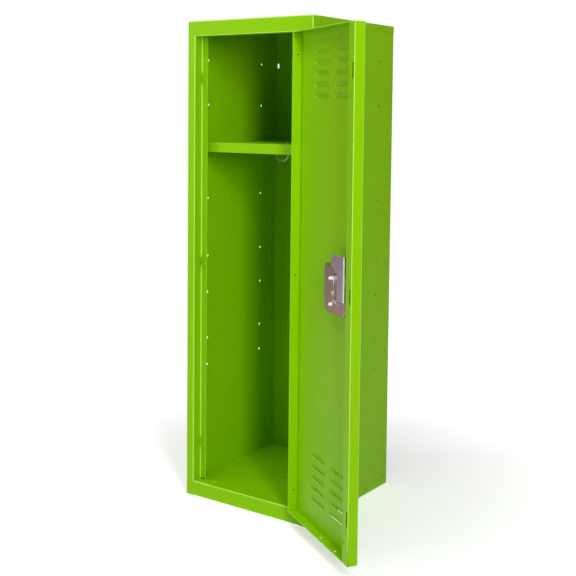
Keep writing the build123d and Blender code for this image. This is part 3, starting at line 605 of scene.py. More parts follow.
left_face = [(-HALF, FRONT, 0), (-OPENING, FRONT, 0), (-OPENING, FRONT, SILL), (-OPENING, FRONT, HEADER),
             (-HALF, FRONT, HEIGHT)]
left_wrap = [(-HALF, WRAP, 0), (-HALF, FRONT, 0), (-HALF, FRONT, HEIGHT), (-HALF, WRAP, HEIGHT)]
left_return = [(-OPENING, FRONT, SILL), (-OPENING, HEADER_BACK, SILL), (-OPENING, STRIKE, SILL),
               (-OPENING, STRIKE, HEADER), (-OPENING, HEADER_BACK, HEADER), (-OPENING, FRONT, HEADER)]
left_lip = [(-OPENING, STRIKE, SILL), (-LIP_EDGE, STRIKE, SILL), (-LIP_EDGE, STRIKE, HEADER),
            (-OPENING, STRIKE, HEADER)]
ring = [left_face, left_wrap, left_return, left_lip]
ring += [mirrored(face) for face in ring]
ring += [
    [(-OPENING, FRONT, 0), (OPENING, FRONT, 0), (OPENING, FRONT, SILL), (-OPENING, FRONT, SILL)],
    [(-OPENING, FRONT, HEADER), (OPENING, FRONT, HEADER), (HALF, FRONT, HEIGHT), (-HALF, FRONT, HEIGHT)],
    [(-HALF, FRONT, HEIGHT), (HALF, FRONT, HEIGHT), (HALF, WRAP, HEIGHT), (-HALF, WRAP, HEIGHT)],
    [(-OPENING, FOOT_BACK, 0), (OPENING, FOOT_BACK, 0), (OPENING, FRONT, 0), (-OPENING, FRONT, 0)],
    [(-OPENING, HEADER_BACK, HEADER), (OPENING, HEADER_BACK, HEADER), (OPENING, FRONT, HEADER),
     (-OPENING, FRONT, HEADER)],
    [(-OPENING, FRONT, SILL), (OPENING, FRONT, SILL), (OPENING, HEADER_BACK, SILL),
     (LEDGE_NOTCH, HEADER_BACK, SILL), (LEDGE_NOTCH, LEDGE_BACK, SILL), (-LEDGE_NOTCH, LEDGE_BACK, SILL),
     (-LEDGE_NOTCH, HEADER_BACK, SILL), (-OPENING, HEADER_BACK, SILL)],
]


def inner_corner(edge):
    """The welded corners inside the opening run straight back and stay crisp."""
    ends = [v.co for v in edge.verts]
    straight_back = abs(ends[0].x - ends[1].x) < MM and abs(ends[0].z - ends[1].z) < MM
    return straight_back and abs(ends[0].x) < (OPENING + BEND) * MM


ring_form = skin_of(ring)
fold(ring_form, BEND * MM, inner_corner)
ledge_slots = [long_loop((side * LEDGE_SLOT_X, LEDGE_SLOT_Y, SILL), LEDGE_SLOT_R, LEDGE_SLOT_RUN, (1, 0))
               for side in (-1, 1)]
punch(ring_form, flat_at(ring_form, 2, SILL, 1), ledge_slots)
front_frame = folded_piece("front_frame", ring_form, SHEET)
give(front_frame, "cabinet", "green_enamel", SHEET_FINISHES,
     "frame_jamb_left", "frame_jamb_right", "frame_header", "frame_sill")
print("front frame faces:", len(front_frame.data.polygons))

# %% [markdown]
# A louver is slit and pressed in one stroke: the slit's upper side bulges out and fades into the sheet.
# The Geometry Nodes tree draws one patch of the door with its bulge, as a grid whose height follows a
# rounded rule, and repeats it in two columns and five rows. The patches are welded into the door later.
# Inputs of the tree hold the louver's measures, so that one tree could press any louver. First come the
# helpers that begin, end and run such a tree.

# %% Helpers for geometry trees


def socket_in(tree, label, kind, value=None):
    """A named input of a tree, with its value at the start."""
    made = tree.interface.new_socket(label, in_out="INPUT", socket_type=kind)
    if value is not None:
        made.default_value = value
    return made


def start_tree(name, inputs):
    """A geometry tree with named inputs; gives its Net and its inputs as wires."""
    tree = bpy.data.node_groups.new(name, "GeometryNodeTree")
    socket_in(tree, "Geometry", "NodeSocketGeometry")
    for label, (kind, value) in inputs.items():
        socket_in(tree, label, kind, value)
    tree.interface.new_socket("Geometry", in_out="OUTPUT", socket_type="NodeSocketGeometry")
    net = Net(tree)
    entry = tree.nodes.new("NodeGroupInput")
    wires = {socket.name: Wire(net, socket) for socket in entry.outputs if socket.name}
    return net, wires


def end_tree(net, geometry_wire, material):
    """Realizes the instances, sets the material and closes the tree."""
    real = net.add("GeometryNodeRealizeInstances", {}, {0: geometry_wire})
    painted = net.add("GeometryNodeSetMaterial", {}, {0: real, "Material": material})
    exit_node = net.tree.nodes.new("NodeGroupOutput")
    net.tree.links.new(painted.socket, exit_node.inputs[0])
    return net.tree


def grown(name, tree, values, seed_mesh=None):
    """Runs a tree on a seed mesh with the given values and returns the plain mesh it makes."""
    seed = new_piece(name + "_seed", seed_mesh or bpy.data.meshes.new(name + "_seed"))
    modifier = seed.modifiers.new("growth", "NODES")
    modifier.node_group = tree
    keys = {item.name: item.identifier for item in tree.interface.items_tree if item.in_out == "INPUT"}
    for label, value in values.items():
        modifier[keys[label]] = value
    graph = bpy.context.evaluated_depsgraph_get()
    mesh = bpy.data.meshes.new_from_object(seed.evaluated_get(graph), depsgraph=graph)
    mesh.name = name
    mesh.polygons.foreach_set("material_index", [0] * len(mesh.polygons))
    bpy.data.objects.remove(seed)
    return mesh


FLOAT, INT, MATERIAL = "NodeSocketFloat", "NodeSocketInt", "NodeSocketMaterial"
QUARTER_TURN = (math.pi / 2, 0, 0)
print("tree helpers ready")

# %% Louver tree
LOUVER_LENGTH, LOUVER_RISE, LOUVER_REACH, LOUVER_MARGIN = 77.0, 11.5, 3.4, 3.0
LOUVER_PITCH, LOUVER_SPREAD, LOUVER_ROWS = 25.4, 107.0, 5
ACROSS, UPWARDS = 41, 13
END_POWER, ROUNDING = 8.0, 0.55
net, given = start_tree("louver bank", {
    "Length": (FLOAT, LOUVER_LENGTH * MM), "Rise": (FLOAT, LOUVER_RISE * MM),
    "Reach": (FLOAT, LOUVER_REACH * MM), "Margin": (FLOAT, LOUVER_MARGIN * MM),
    "Pitch": (FLOAT, LOUVER_PITCH * MM), "Spread": (FLOAT, LOUVER_SPREAD * MM),
    "Columns": (INT, ACROSS), "Rows": (INT, UPWARDS), "Finish": (MATERIAL, None),
})
patch_length = given["Length"] + 2 * given["Margin"]
patch_rise = given["Rise"] + given["Margin"]


def grid_patch(height, rows, middle):
    """A flat upright patch of the louver's sheet, its middle at a height above the slit."""
    sockets = {"Size X": patch_length, "Size Y": height, "Vertices X": given["Columns"], "Vertices Y": rows}
    flat = net.add("GeometryNodeMeshGrid", {}, sockets)
    lift = net.add("ShaderNodeCombineXYZ", {}, {2: middle})
    sockets = {0: flat, "Translation": lift, "Rotation": QUARTER_TURN}
    return net.add("GeometryNodeTransform", {}, sockets)


below = grid_patch(given["Margin"], 2, given["Margin"] * -0.5)
above = grid_patch(patch_rise, given["Rows"], patch_rise * 0.5)
where = net.add("GeometryNodeInputPosition")
split = net.tree.nodes.new("ShaderNodeSeparateXYZ")
net.tree.links.new(where.socket, split.inputs[0])
sideways = Wire(net, split.outputs[0]).math("ABSOLUTE") / (given["Length"] * 0.5)
height = Wire(net, split.outputs[2]) / given["Rise"]
left_over = (1.0 - sideways ** END_POWER - height * height).math("MAXIMUM", 0.0)
bulge = (left_over ** ROUNDING) * given["Reach"] * -1.0
offset = net.add("ShaderNodeCombineXYZ", {}, {1: bulge})
pressed = net.add("GeometryNodeSetPosition", {}, {0: above, "Offset": offset})
both = net.add("GeometryNodeJoinGeometry")
net.tree.links.new(below.socket, both.socket.node.inputs[0])
net.tree.links.new(pressed.socket, both.socket.node.inputs[0])
louver = net.add("GeometryNodeMergeByDistance", {}, {0: both, "Distance": WELD})
spots_size = {"Size X": given["Spread"], "Size Y": given["Pitch"] * (LOUVER_ROWS - 1.0),
              "Vertices X": 2, "Vertices Y": LOUVER_ROWS}
spots = net.add("GeometryNodeMeshGrid", {}, spots_size)
upright_spots = net.add("GeometryNodeTransform", {}, {0: spots, "Rotation": QUARTER_TURN})
bank = net.add("GeometryNodeInstanceOnPoints", {}, {0: upright_spots, "Instance": louver})
louver_tree = end_tree(net, bank, given["Finish"])
louver_mesh = grown("louver_bank", louver_tree, {"Finish": GREEN})
print("louver bank:", len(louver_mesh.polygons), "faces")

# %% [markdown]
# The door is a pan: its four sides turn back from the face, and the free side turns in once more as a
# lip that hides the latch bar. It is drawn shut, where its sizes are plain, and then swung to where it
# stands, so that shut and open are the same door.

# %% Door sizes and swing
FREE, HINGED, DOOR_LOW, DOOR_HIGH, DOOR_BACK = -165.0, 164.0, 40.1, 1179.1, -166.5
LIP_IN = FREE + 27.0
OPENED = math.radians(147.5)
HINGE = Vector((0.1655, -0.1940, 0.0))
SWING = Matrix.Translation(HINGE) @ Matrix.Rotation(OPENED, 4, "Z") @ Matrix.Translation(-HINGE)


def swung(piece):
    """Swings a piece that is drawn on the shut door to the open door; its place stays in its mesh."""
    piece.data.transform(SWING)
    return piece


print("door opened by", round(math.degrees(OPENED), 1), "degrees")

# %% Door skin
lip_low, lip_high = DOOR_LOW + SHEET, DOOR_HIGH - SHEET
pan = [
    [(LIP_IN, FRONT, DOOR_LOW), (HINGED, FRONT, DOOR_LOW), (HINGED, FRONT, DOOR_HIGH),
     (LIP_IN, FRONT, DOOR_HIGH)],
    [(FREE, FRONT, DOOR_LOW), (LIP_IN, FRONT, DOOR_LOW), (LIP_IN, FRONT, DOOR_HIGH),
     (FREE, FRONT, DOOR_HIGH)],
    [(FREE, DOOR_BACK, DOOR_LOW), (FREE, FRONT, DOOR_LOW), (FREE, FRONT, DOOR_HIGH),
     (FREE, DOOR_BACK, DOOR_HIGH), (FREE, DOOR_BACK, lip_high), (FREE, DOOR_BACK, lip_low)],
    [(HINGED, FRONT, DOOR_LOW), (HINGED, DOOR_BACK, DOOR_LOW), (HINGED, DOOR_BACK, DOOR_HIGH),
     (HINGED, FRONT, DOOR_HIGH)],
    [(FREE, FRONT, DOOR_HIGH), (LIP_IN, FRONT, DOOR_HIGH), (HINGED, FRONT, DOOR_HIGH),
     (HINGED, DOOR_BACK, DOOR_HIGH), (FREE, DOOR_BACK, DOOR_HIGH)],
    [(FREE, DOOR_BACK, DOOR_LOW), (HINGED, DOOR_BACK, DOOR_LOW), (HINGED, FRONT, DOOR_LOW),
     (LIP_IN, FRONT, DOOR_LOW), (FREE, FRONT, DOOR_LOW)],
    [(FREE, DOOR_BACK, lip_low), (FREE, DOOR_BACK, lip_high), (LIP_IN, DOOR_BACK, lip_high),
     (LIP_IN, DOOR_BACK, lip_low)],
]
pan_form = skin_of(pan)
fold(pan_form, BEND * MM)
print("door skin folded:", len(pan_form.faces), "faces")

# %% [markdown]
# The door's face has two banks of louvers, two slots at the top and the hole for the latch cup. The lip
# has slots for the catches and two round holes, and the top and bottom edges have drain holes. A louver
# patch has to meet the sheet round it point by point, or the seam would show, so the hole that is punched
# for it has the same points as the patch's border.

# %% Outlines of the door's holes


def patch_rim(x, slit):
    """The outline of one louver patch, with the same points as the patch's own border."""
    half, rise = LOUVER_LENGTH / 2 + LOUVER_MARGIN, LOUVER_RISE + LOUVER_MARGIN
    low, high, columns, rows = slit - LOUVER_MARGIN, slit + rise, ACROSS - 1, UPWARDS - 1
    across = [x - half + 2 * half * i / columns for i in range(columns + 1)]
    upwards = [slit + rise * i / rows for i in range(rows + 1)]
    loop = [(a, FRONT, low) for a in across] + [(x + half, FRONT, u) for u in upwards]
    loop += [(a, FRONT, high) for a in reversed(across[:-1])]
    loop += [(x - half, FRONT, u) for u in reversed(upwards[:-1])]
    return [Vector(point) * MM for point in loop]


def rounded_rectangle(x, z, half_width, half_height, corner, y, count=6):
    """Points round a rectangle with rounded corners that stands at a depth."""
    loop = []
    for turn_index, (sx, sz) in enumerate(((1, 1), (-1, 1), (-1, -1), (1, -1))):
        for step in range(count + 1):
            angle = math.pi / 2 * (turn_index + step / count)
            cx, cz = x + sx * (half_width - corner), z + sz * (half_height - corner)
            loop.append(Vector((cx + corner * math.cos(angle), y, cz + corner * math.sin(angle))) * MM)
    return loop


print("one louver's rim:", len(patch_rim(0.0, 0.0)), "points")

# %% Punched door
LOUVER_X, LOUVER_SLITS = -8.0, (1074.8, 148.8)
TOP_SLOT_X, TOP_SLOT_APART, TOP_SLOT_Z, TOP_SLOT_R, TOP_SLOT_RUN = -0.5, 47.0, 1161.6, 1.5, 17.0
CUP_X, CUP_Z, CUP_W, CUP_H, CUP_R = -70.5, 612.5, 53.5, 54.0, 15.0
CATCH_X, CATCH_LOWS = -157.5, (1064.5, 597.0, 126.5)
CATCH_SLOT_UP, CATCH_SLOT_R, CATCH_SLOT_RUN = 13.0, 3.0, 29.0
LIP_HOLE_X, LIP_HOLE_ZS, LIP_HOLE_R = -147.0, (1027.1, 86.1), 5.25
DRAIN_XS, DRAIN_Y, DRAIN_R = (37.0, 80.0, 157.0, 236.0), FRONT + 15.0, 3.25
louver_centres = [(LOUVER_X + side * LOUVER_SPREAD / 2, slit + row * LOUVER_PITCH)
                  for slit in LOUVER_SLITS for side in (-1, 1) for row in range(-2, 3)]
face_holes = [patch_rim(x, slit) for x, slit in louver_centres]
for side in (-1, 1):
    slot_place = (TOP_SLOT_X + side * TOP_SLOT_APART / 2, FRONT, TOP_SLOT_Z)
    face_holes.append(long_loop(slot_place, TOP_SLOT_R, TOP_SLOT_RUN, (2, 0)))
face_holes.append(rounded_rectangle(CUP_X, CUP_Z, CUP_W, CUP_H, CUP_R, FRONT))
punch(pan_form, flat_at(pan_form, 1, FRONT, -1), face_holes)
lip_holes = [long_loop((CATCH_X, DOOR_BACK, low + CATCH_SLOT_UP), CATCH_SLOT_R, CATCH_SLOT_RUN, (0, 2))
             for low in CATCH_LOWS]
lip_holes += [round_loop((LIP_HOLE_X, DOOR_BACK, z), LIP_HOLE_R, (0, 2)) for z in LIP_HOLE_ZS]
punch(pan_form, flat_at(pan_form, 1, DOOR_BACK, 1), lip_holes)
for z, facing in ((DOOR_LOW, -1), (DOOR_HIGH, 1)):
    drains = [round_loop((FREE + x, DRAIN_Y, z), DRAIN_R, (0, 1)) for x in DRAIN_XS]
    punch(pan_form, flat_at(pan_form, 2, z, facing), drains)
print("door skin punched:", len(pan_form.faces), "faces")

# %% Door panel
for slit in LOUVER_SLITS:
    placed = louver_mesh.copy()
    placed.transform(Matrix.Translation(Vector((LOUVER_X, FRONT, slit)) * MM))
    pan_form.from_mesh(placed)
# The skin round the lip channel is marked, so that its inner wall takes the painted shade.
for face in pan_form.faces:
    if face.material_index != ON_FOLD and face.calc_center_median().x < LIP_IN * MM:
        face.material_index = IN_CHANNEL
door = folded_piece("door_pan", pan_form, SHEET)
give(swung(door), "door", "green_enamel", SHEET_FINISHES, "door_panel")
print("door faces:", len(door.data.polygons))

# %% [markdown]
# Rivet heads, their tails and the nylon caps are all turned forms: one outline carried round an axis.
# The tree bends a grid round that axis, with the grid's width as the angle and its height as the way
# along the outline. A superellipse gives the outline, from a low dome to a bullet, and a bore can sink
# its middle, as the broken-off stem does in a blind rivet. The last row of the grid closes the base.

# %% Turned heads tree
net, given = start_tree("turned heads", {
    "Radius": (FLOAT, 0.0032), "Height": (FLOAT, 0.0011), "Squareness": (FLOAT, 2.0), "Bore": (FLOAT, 0.0),
    "Depth": (FLOAT, 0.0), "Segments": (INT, 25), "Finish": (MATERIAL, None),
})
PROFILE_POINTS = 18
BORE_EDGE, BORE_BOTTOM = 1.1, 0.8
sheet_size = {"Size X": 1.0, "Size Y": 1.0, "Vertices X": given["Segments"], "Vertices Y": PROFILE_POINTS}
flat = net.add("GeometryNodeMeshGrid", {}, sheet_size)
where = net.add("GeometryNodeInputPosition")
split = net.tree.nodes.new("ShaderNodeSeparateXYZ")
net.tree.links.new(where.socket, split.inputs[0])
angle = (Wire(net, split.outputs[0]) + 0.5) * (2 * math.pi)
along = 0.5 - Wire(net, split.outputs[1])
base = along > (1.0 - 0.5 / (PROFILE_POINTS - 1))
outline_turn = along * ((PROFILE_POINTS - 1) / (PROFILE_POINTS - 2)) * (math.pi / 2)
share = outline_turn.math("MINIMUM", math.pi / 2).math("SINE")
radial = share * given["Radius"]
left_over = (1.0 - share ** given["Squareness"]).math("MAXIMUM", 0.0)
rise = given["Height"] * left_over ** (1.0 / given["Squareness"])
sunk = mapped(net, radial, given["Bore"] * BORE_EDGE, given["Bore"] * BORE_BOTTOM, 0.0, given["Depth"])
radial = radial * (1.0 - base)
rise = (rise - sunk) * (1.0 - base)
turned = net.add("ShaderNodeCombineXYZ", {}, {
    0: radial * angle.math("COSINE"), 1: radial * angle.math("SINE"), 2: rise})
shaped = net.add("GeometryNodeSetPosition", {}, {0: flat, "Position": turned})
whole = net.add("GeometryNodeMergeByDistance", {}, {0: shaped, "Distance": WELD / 2})
smooth = net.add("GeometryNodeSetShadeSmooth", {}, {0: whole})
facing = net.add("GeometryNodeInputNamedAttribute", {"data_type": "FLOAT_VECTOR"}, {"Name": "facing"})
aimed = net.add("FunctionNodeAlignRotationToVector", {"axis": "Z"}, {"Vector": facing})
placed_heads = {0: given["Geometry"], "Instance": smooth, "Rotation": aimed}
heads = net.add("GeometryNodeInstanceOnPoints", {}, placed_heads)
heads_tree = end_tree(net, heads, given["Finish"])
print("heads tree:", len(heads_tree.nodes), "nodes")

# %% Heads at their places


def turned_heads(name, spots, radius, height, finish, squareness=2.0, bore=0.0, depth=0.0, segments=25):
    """Turned heads at spots: each a place in millimetres and the way it faces."""
    points = bpy.data.meshes.new(name + "_spots")
    points.from_pydata([Vector(place) * MM for place, _ in spots], [], [])
    facing_data = points.attributes.new("facing", "FLOAT_VECTOR", "POINT")
    for index, (_, way) in enumerate(spots):
        facing_data.data[index].vector = way
    return grown(name, heads_tree, {
        "Radius": radius * MM, "Height": height * MM, "Squareness": squareness, "Bore": bore * MM,
        "Depth": depth * MM, "Segments": segments, "Finish": finish}, points)


def joined(name, meshes, finish_numbers):
    """One piece from several plain meshes, each with the number of its finish."""
    form = bmesh.new()
    for mesh, number in zip(meshes, finish_numbers):
        first = len(form.faces)
        form.from_mesh(mesh)
        form.faces.ensure_lookup_table()
        for face in form.faces[first:]:
            face.material_index = number
    mesh = bpy.data.meshes.new(name)
    form.to_mesh(mesh)
    form.free()
    return new_piece(name, mesh)


HEAD = {"radius": 3.2, "height": 1.1, "squareness": 2.4, "bore": 1.9, "depth": 1.0}
STEM = {"radius": 1.9, "height": 0.5, "squareness": 4.0}
SQUASHED_TAIL = {"radius": 2.2, "height": 1.0, "squareness": 3.0}
FLUSH_TAIL = {"radius": 2.4, "height": 0.2, "squareness": 3.0}


def blind_rivets(name, start, heads, tails, tail_form):
    """One piece with the head, the tail and the sunk stem of every rivet; the stem is painted shade."""
    return joined(name, [
        turned_heads(start + "_heads", heads, finish=GREEN, **HEAD),
        turned_heads(start + "_tails", tails, finish=GREEN, **tail_form),
        turned_heads(start + "_stems", heads, finish=STEM_PAINTED_SHADE, **STEM),
    ], (0, 0, 1))


print("rivet head:", 2 * HEAD["radius"], "mm wide")

# %% [markdown]
# The cabinet is held together with blind rivets through each side: seven up the back, two at the top,
# two at the shelf and two at the floor. Outside they show a low head with the stem that broke off inside
# it, sunk, its near-black colour painted shade for the dark in the bore, and inside the small squashed
# tail. The hinge leaves are riveted to the door in the same way, with tails that lie flush on the leaf.
# A painted dot would look flat from the side, and a loop places real ones just as quickly.

# %% Cabinet rivets
SIDE_X, TOP_X, GRIP = 189.0, 189.9, 1.95
back_rows = [(169.1, z) for z in (1057.0, 827.2, 597.4, 367.6, 126.5, 76.1, 25.7)]
side_rows = back_rows + [(y, 902.4) for y in (-110.5, 119.0)] + [(y, 25.7) for y in (-110.5, 123.5)]
top_rows = [(y, 1210.2) for y in (-110.5, 119.0)]
outer, inner = [], []
for side in (-1, 1):
    for face_x, rows in ((SIDE_X, side_rows), (TOP_X, top_rows)):
        outer += [((side * face_x, y, z), (side, 0, 0)) for y, z in rows]
        inner += [((side * (face_x - GRIP), y, z), (-side, 0, 0)) for y, z in rows]
rivets = blind_rivets("cabinet_rivets", "rivet", outer, inner, SQUASHED_TAIL)
give(rivets, "cabinet", "green_enamel", (GREEN, STEM_PAINTED_SHADE),
     "back_rivets", "top_rivets", "shelf_rivets", "floor_rivets")
print("cabinet rivets:", len(outer), "faces:", len(rivets.data.polygons))

# %% Hinge rivets
HINGE_ZS = (1126.6, 609.6, 92.6)
LEAF_GAUGE = 1.2
IN_DOOR_X, ON_LEAF_X, HINGE_RIVET_Y = HINGED - SHEET, HINGED + LEAF_GAUGE, -179.5
hinge_spots = [((IN_DOOR_X, HINGE_RIVET_Y, z), (-1, 0, 0)) for z in HINGE_ZS]
leaf_spots = [((ON_LEAF_X, HINGE_RIVET_Y, z), (1, 0, 0)) for z in HINGE_ZS]
hinge_rivets = blind_rivets("door_hinge_rivets", "hinge", hinge_spots, leaf_spots, FLUSH_TAIL)
give(swung(hinge_rivets), "door", "green_enamel", (GREEN, STEM_PAINTED_SHADE), "hinge_rivets")
print("hinge rivets:", len(hinge_spots))

# %% [markdown]
# The latch cup is drawn from stainless sheet: a flange on the door's face, a rolled rim, straight walls
# and a flat bottom with two slots for the studs. Drawing leaves no sharp line anywhere, so the cup is
# lofted: rounded rectangles with one point count follow the profile inwards, each given by its half
# width, its half height, its corner and its depth.

# %% Latch cup
CUP_INNER_W, CUP_INNER_H = 52.2, 52.7
CUP_BOTTOM, CUP_GAUGE, CUP_RIM = -171.9, 1.0, 0.12 * MM
cup_profile = [
    (60.3, 60.9, 21.9, -191.1), (60.0, 60.6, 21.8, -191.45), (59.2, 59.8, 21.4, -191.5),
    (53.9, 54.4, 15.4, -191.5), (53.2, 53.7, 14.9, -191.25), (52.6, 53.1, 14.4, -190.6),
    (CUP_INNER_W, CUP_INNER_H, 14.0, -189.4), (CUP_INNER_W, CUP_INNER_H, 14.0, -174.6),
    (51.9, 52.4, 13.6, -173.4), (51.0, 51.5, 12.7, -172.4), (49.4, 49.9, 11.2, CUP_BOTTOM),
]


def lofted(rings):
    """A skin through rings of points, closed with a flat face at the last ring."""
    form = bmesh.new()
    rows = [[form.verts.new(point) for point in ring] for ring in rings]
    for near, far in zip(rows, rows[1:]):
        for index in range(len(near)):
            after = (index + 1) % len(near)
            form.faces.new((near[index], near[after], far[after], far[index]))
    form.faces.new(rows[-1])
    bmesh.ops.recalc_face_normals(form, faces=form.faces)
    form.normal_update()
    return form


cup_form = lofted([rounded_rectangle(CUP_X, CUP_Z, w, h, r, y, 8) for w, h, r, y in cup_profile])
bottom = max(cup_form.faces, key=lambda f: f.calc_area())
if bottom.normal.y > 0:
    bmesh.ops.reverse_faces(cup_form, faces=cup_form.faces)
    cup_form.normal_update()
    bottom = max(cup_form.faces, key=lambda f: f.calc_area())
STUD_X, STUD_ZS, STUD_SLOT_R, LIFT = -69.5, (637.9, 581.6), 3.0, 12.0
stud_slots = [long_loop((STUD_X, CUP_BOTTOM, z + LIFT / 2), STUD_SLOT_R, LIFT, (0, 2)) for z in STUD_ZS]
punch(cup_form, bottom, stud_slots)
cup = folded_piece("latch_cup_drawn", cup_form, CUP_GAUGE, CUP_RIM)
give(swung(cup), "door", "stainless", STAINLESS, "latch_cup")
print("cup faces:", len(cup.data.polygons))

# %% [markdown]
# A stepped cover plate hides the arm. It is folded down beside the cup, with a soft bend whose pale line
# is a painted highlight in a near-white metal, and it has two round holes and rounded corners. Like the
# door it is one skin: a plate and a wall, folded and then punched.

# %% Latch cover sizes
COVER_OUT, COVER_WIDE, COVER_NARROW, COVER_Y, COVER_FOOT = -131.0, -69.5, -97.5, -164.7, -189.0
COVER_TOP, COVER_STEP, COVER_WAIST, COVER_LOW = 690.0, 664.5, 652.5, 594.0
COVER_BEND, COVER_GAUGE, COVER_RIM = 2.6, 1.2, 0.2 * MM
COVER_HOLE_IN, COVER_HOLE_ZS, COVER_HOLE_R = 16.5, (660.1, 602.1), 2.6
WINDOW_FRONT, WINDOW_BACK, WINDOW_LOW, WINDOW_TOP = -172.0, -167.8, 628.4, 659.4


def rounded_corners(points, radii, count=4):
    """A closed outline of (x, z) points with its corners rounded."""
    loop = []
    for index, (here, radius) in enumerate(zip(points, radii)):
        here = Vector(here)
        if radius == 0:
            loop.append(here)
            continue
        before, after = Vector(points[index - 1]), Vector(points[(index + 1) % len(points)])
        to_before, to_after = (before - here).normalized(), (after - here).normalized()
        reach = radius / math.tan(to_before.angle(to_after) / 2)
        start, end = here + to_before * reach, here + to_after * reach
        for step in range(count + 1):
            share = step / count
            loop.append(start * (1 - share) ** 2 + here * 2 * share * (1 - share) + end * share ** 2)
    return loop


print("cover:", COVER_WIDE - COVER_OUT, "x", COVER_TOP - COVER_LOW, "mm")

# %% Latch cover
outline = [(COVER_OUT, COVER_LOW), (COVER_OUT, COVER_TOP), (COVER_WIDE, COVER_TOP), (COVER_WIDE, COVER_STEP),
           (COVER_NARROW, COVER_WAIST), (COVER_NARROW, COVER_LOW)]
outline = rounded_corners(outline, (0, 0, 2.5, 3.0, 4.0, 2.5))
plate = [(p.x, COVER_Y, p.y) for p in outline]
wall = [(COVER_OUT, COVER_FOOT, COVER_LOW), (COVER_OUT, COVER_FOOT, COVER_TOP),
        (COVER_OUT, COVER_Y, COVER_TOP), (COVER_OUT, COVER_Y, COVER_LOW)]
cover_form = skin_of([plate, wall])
fold(cover_form, COVER_BEND * MM, segments=5)
cover_holes = [round_loop((COVER_OUT + COVER_HOLE_IN, COVER_Y, z), COVER_HOLE_R, (0, 2))
               for z in COVER_HOLE_ZS]
punch(cover_form, flat_at(cover_form, 1, COVER_Y, 1), cover_holes)
window_corners = ((WINDOW_FRONT, WINDOW_LOW), (WINDOW_FRONT, WINDOW_TOP),
                  (WINDOW_BACK, WINDOW_TOP), (WINDOW_BACK, WINDOW_LOW))
window = [Vector((COVER_OUT, y, z)) * MM for y, z in window_corners]
punch(cover_form, flat_at(cover_form, 0, COVER_OUT, -1), [window])
cover = folded_piece("latch_cover_folded", cover_form, COVER_GAUGE, COVER_RIM)
# The cover's bend and cut rims take the near-white painted highlight.
give(swung(cover), "door", "stainless", (COVER_STEEL, BEND_PAINTED_HIGHLIGHT, COVER_STEEL), "latch_cover")
print("cover faces:", len(cover.data.polygons))

# %% [markdown]
# Two nylon caps, shaped like bullets, sit on the studs behind the cup. They are turned forms again, only
# taller and squarer than a rivet's head.

# %% Stud caps
CAP = {"radius": 4.0, "height": 10.0, "squareness": 3.2, "segments": 33}
CAP_Y = -168.5
cap_spots = [((STUD_X, CAP_Y, z), (0, 1, 0)) for z in STUD_ZS]
caps = joined("nylon_caps", [turned_heads("caps", cap_spots, finish=WHITE_NYLON, **CAP)], (0,))
give(swung(caps), "latch", "white_nylon", WHITE_NYLON, "stud_caps")
print("caps:", len(cap_spots))

# %% [markdown]
# The return spring is one wire with a double coil that presses the arm down again. A curve with a round
# bevel draws it: a few points lead in and out, and a loop winds the coil.

# %% Path of the return spring
WIRE_Y, WIRE_R, COIL_X, COIL_Z, COIL_R, COIL_ADVANCE = -167.35, 0.65, -73.5, 606.5, 5.0, 1.5
run_x = COIL_X - COIL_R
path = [(STUD_X - 4.8, WIRE_Y + 1.0, 640.5), (STUD_X - 5.6, WIRE_Y, 637.2), (run_x + 1.4, WIRE_Y, 628.0),
        (run_x, WIRE_Y, 618.0)]
TURNS, STEPS = 2, 16
for step in range(TURNS * STEPS + 1):
    turn_angle = math.pi + 2 * math.pi * step / STEPS
    depth = WIRE_Y + COIL_ADVANCE * step / (TURNS * STEPS)
    path.append((COIL_X + COIL_R * math.cos(turn_angle), depth, COIL_Z + COIL_R * math.sin(turn_angle)))
path += [(run_x, WIRE_Y + 1.2, 600.0), (run_x, WIRE_Y + 0.6, 594.2)]
print("spring path:", len(path), "points")

# %% Return spring


def wire_piece(name, points, radius, resolution=6):
    """A round wire along smooth points, as a closed mesh."""
    line = bpy.data.curves.new(name, "CURVE")
    line.dimensions = "3D"
    line.bevel_depth = radius * MM
    line.bevel_resolution = resolution
    line.use_fill_caps = True
    spline = line.splines.new("NURBS")
    spline.points.add(len(points) - 1)
    for place, point in zip(spline.points, points):
        place.co = (*(Vector(point) * MM), 1.0)
    spline.order_u = 3
    spline.use_endpoint_u = True
    spline.resolution_u = 6
    drawn = new_piece(name + "_line", line)
    graph = bpy.context.evaluated_depsgraph_get()
    mesh = bpy.data.meshes.new_from_object(drawn.evaluated_get(graph), depsgraph=graph)
    bpy.data.objects.remove(drawn)
    form = bmesh.new()
    form.from_mesh(mesh)
    bmesh.ops.remove_doubles(form, verts=form.verts, dist=WELD / 4)
    bmesh.ops.recalc_face_normals(form, faces=form.faces)
    form.to_mesh(mesh)
    form.free()
    for polygon in mesh.polygons:
        polygon.use_smooth = True
    return new_piece(name, mesh)


spring = wire_piece("return_spring_wire", path, WIRE_R)
give(swung(spring), "door", "stainless", ZINC, "return_spring")
print("spring faces:", len(spring.data.polygons))
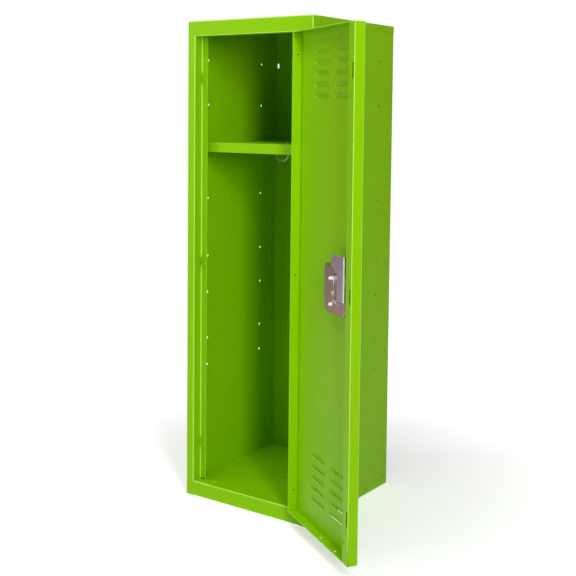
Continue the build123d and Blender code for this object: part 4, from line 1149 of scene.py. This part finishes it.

# %% [markdown]
# The coat hook, the catches, the hinges, the latch and the handle are small solid parts whose CAD shape
# is already right, so they are eased copies too. Each row gives a finish and the width of the eased
# arris in millimetres, which is wider on thick stock than on pins and nuts; the slot comes from the
# part's record. The latch bar and its guides sit deep in the door's lip channel, so they take the
# near-black green that is painted shade for the dark there.

# %% Stock pieces
STOCK = {
    "coat_hook": (ZINC, 0.3), "coat_hook_screws": (ZINC, 0.15), "coat_hook_nuts": (ZINC, 0.2),
    "spring_clip": (ZINC, 0.2), "lift_handle": (STAINLESS, 0.3), "latch_studs": (ZINC, 0.2),
    "latch_arm": (COVER_STEEL, 0.2), "latch_bar": (CHANNEL_PAINTED_SHADE, 0.2), "bar_guides": (CHANNEL_PAINTED_SHADE, 0.2),
}
for place in ("upper", "middle", "lower"):
    STOCK["catch_" + place] = (GREEN, 0.35)
for place in ("top", "middle", "bottom"):
    STOCK["hinge_frame_leaf_" + place] = (GREEN, 0.15)
    STOCK["hinge_door_leaf_" + place] = (GREEN, 0.15)
    STOCK["hinge_pin_" + place] = (ZINC, 0.15)
slots = {subpart["node"]: subpart["material_slot"] for subpart in frame["record"]["subparts"]}
for node, (finish, arris) in STOCK.items():
    eased_copy(node, slots[node], finish, arris * MM)
print("stock pieces:", len(STOCK), "shown CAD nodes left:",
      [n for n, cad in frame["nodes"].items() if not cad.hide_render])

# %% [markdown]
# The floor is a plain pale sheet that goes on past every edge of the view. It glows a little, as a
# back-lit studio sweep does: more far away than under the locker, so a soft shade stays round the feet
# and the sheet meets the white surround without a line. Only the camera sees that glow. Other rays find
# the floor dim, or its white would be mirrored in the low parts of the green.

# %% Floor
REACH, FLOOR_DROP = 12.0, 0.0005
GLOW_NEAR, GLOW_FAR = 0.3, 1.4
NEAR_GREY, FAR_GREY, UNSEEN_GREY = 0.46, 0.92, 0.05


def grey(value):
    return (value, value, value, 1.0)


floor_mesh = bpy.data.meshes.new("floor")
corners = [(-REACH, -REACH, 0), (REACH, -REACH, 0), (REACH, REACH, 0), (-REACH, REACH, 0)]
floor_mesh.from_pydata(corners, [], [(0, 1, 2, 3)])
floor = new_piece("floor", floor_mesh)
floor.location.z = -FLOOR_DROP
paper, net, at = surface("pale_floor")
grain = noise(net, at, 40.0, 3.0)
tone = blend(net, spread(net, grain, 0.0, 0.3), grey(0.94), grey(0.91))
distance = net.add("ShaderNodeVectorMath", {"operation": "LENGTH"}, {0: at}, "Value")
glow = mapped(net, distance, GLOW_NEAR, GLOW_FAR, 0.0, 1.0, interpolation_type="SMOOTHSTEP")
emitted = blend(net, glow, grey(NEAR_GREY), grey(FAR_GREY))
seen_straight = net.add("ShaderNodeLightPath", output="Is Camera Ray")
emitted = blend(net, seen_straight, grey(UNSEEN_GREY), emitted)
close(net, tone, 0.8, 0.0, grain, 0.02, 0.001, **{
    "Specular IOR Level": 0.1, "Emission Color": emitted, "Emission Strength": 1.0})
floor_mesh.materials.append(paper)
print("floor laid")
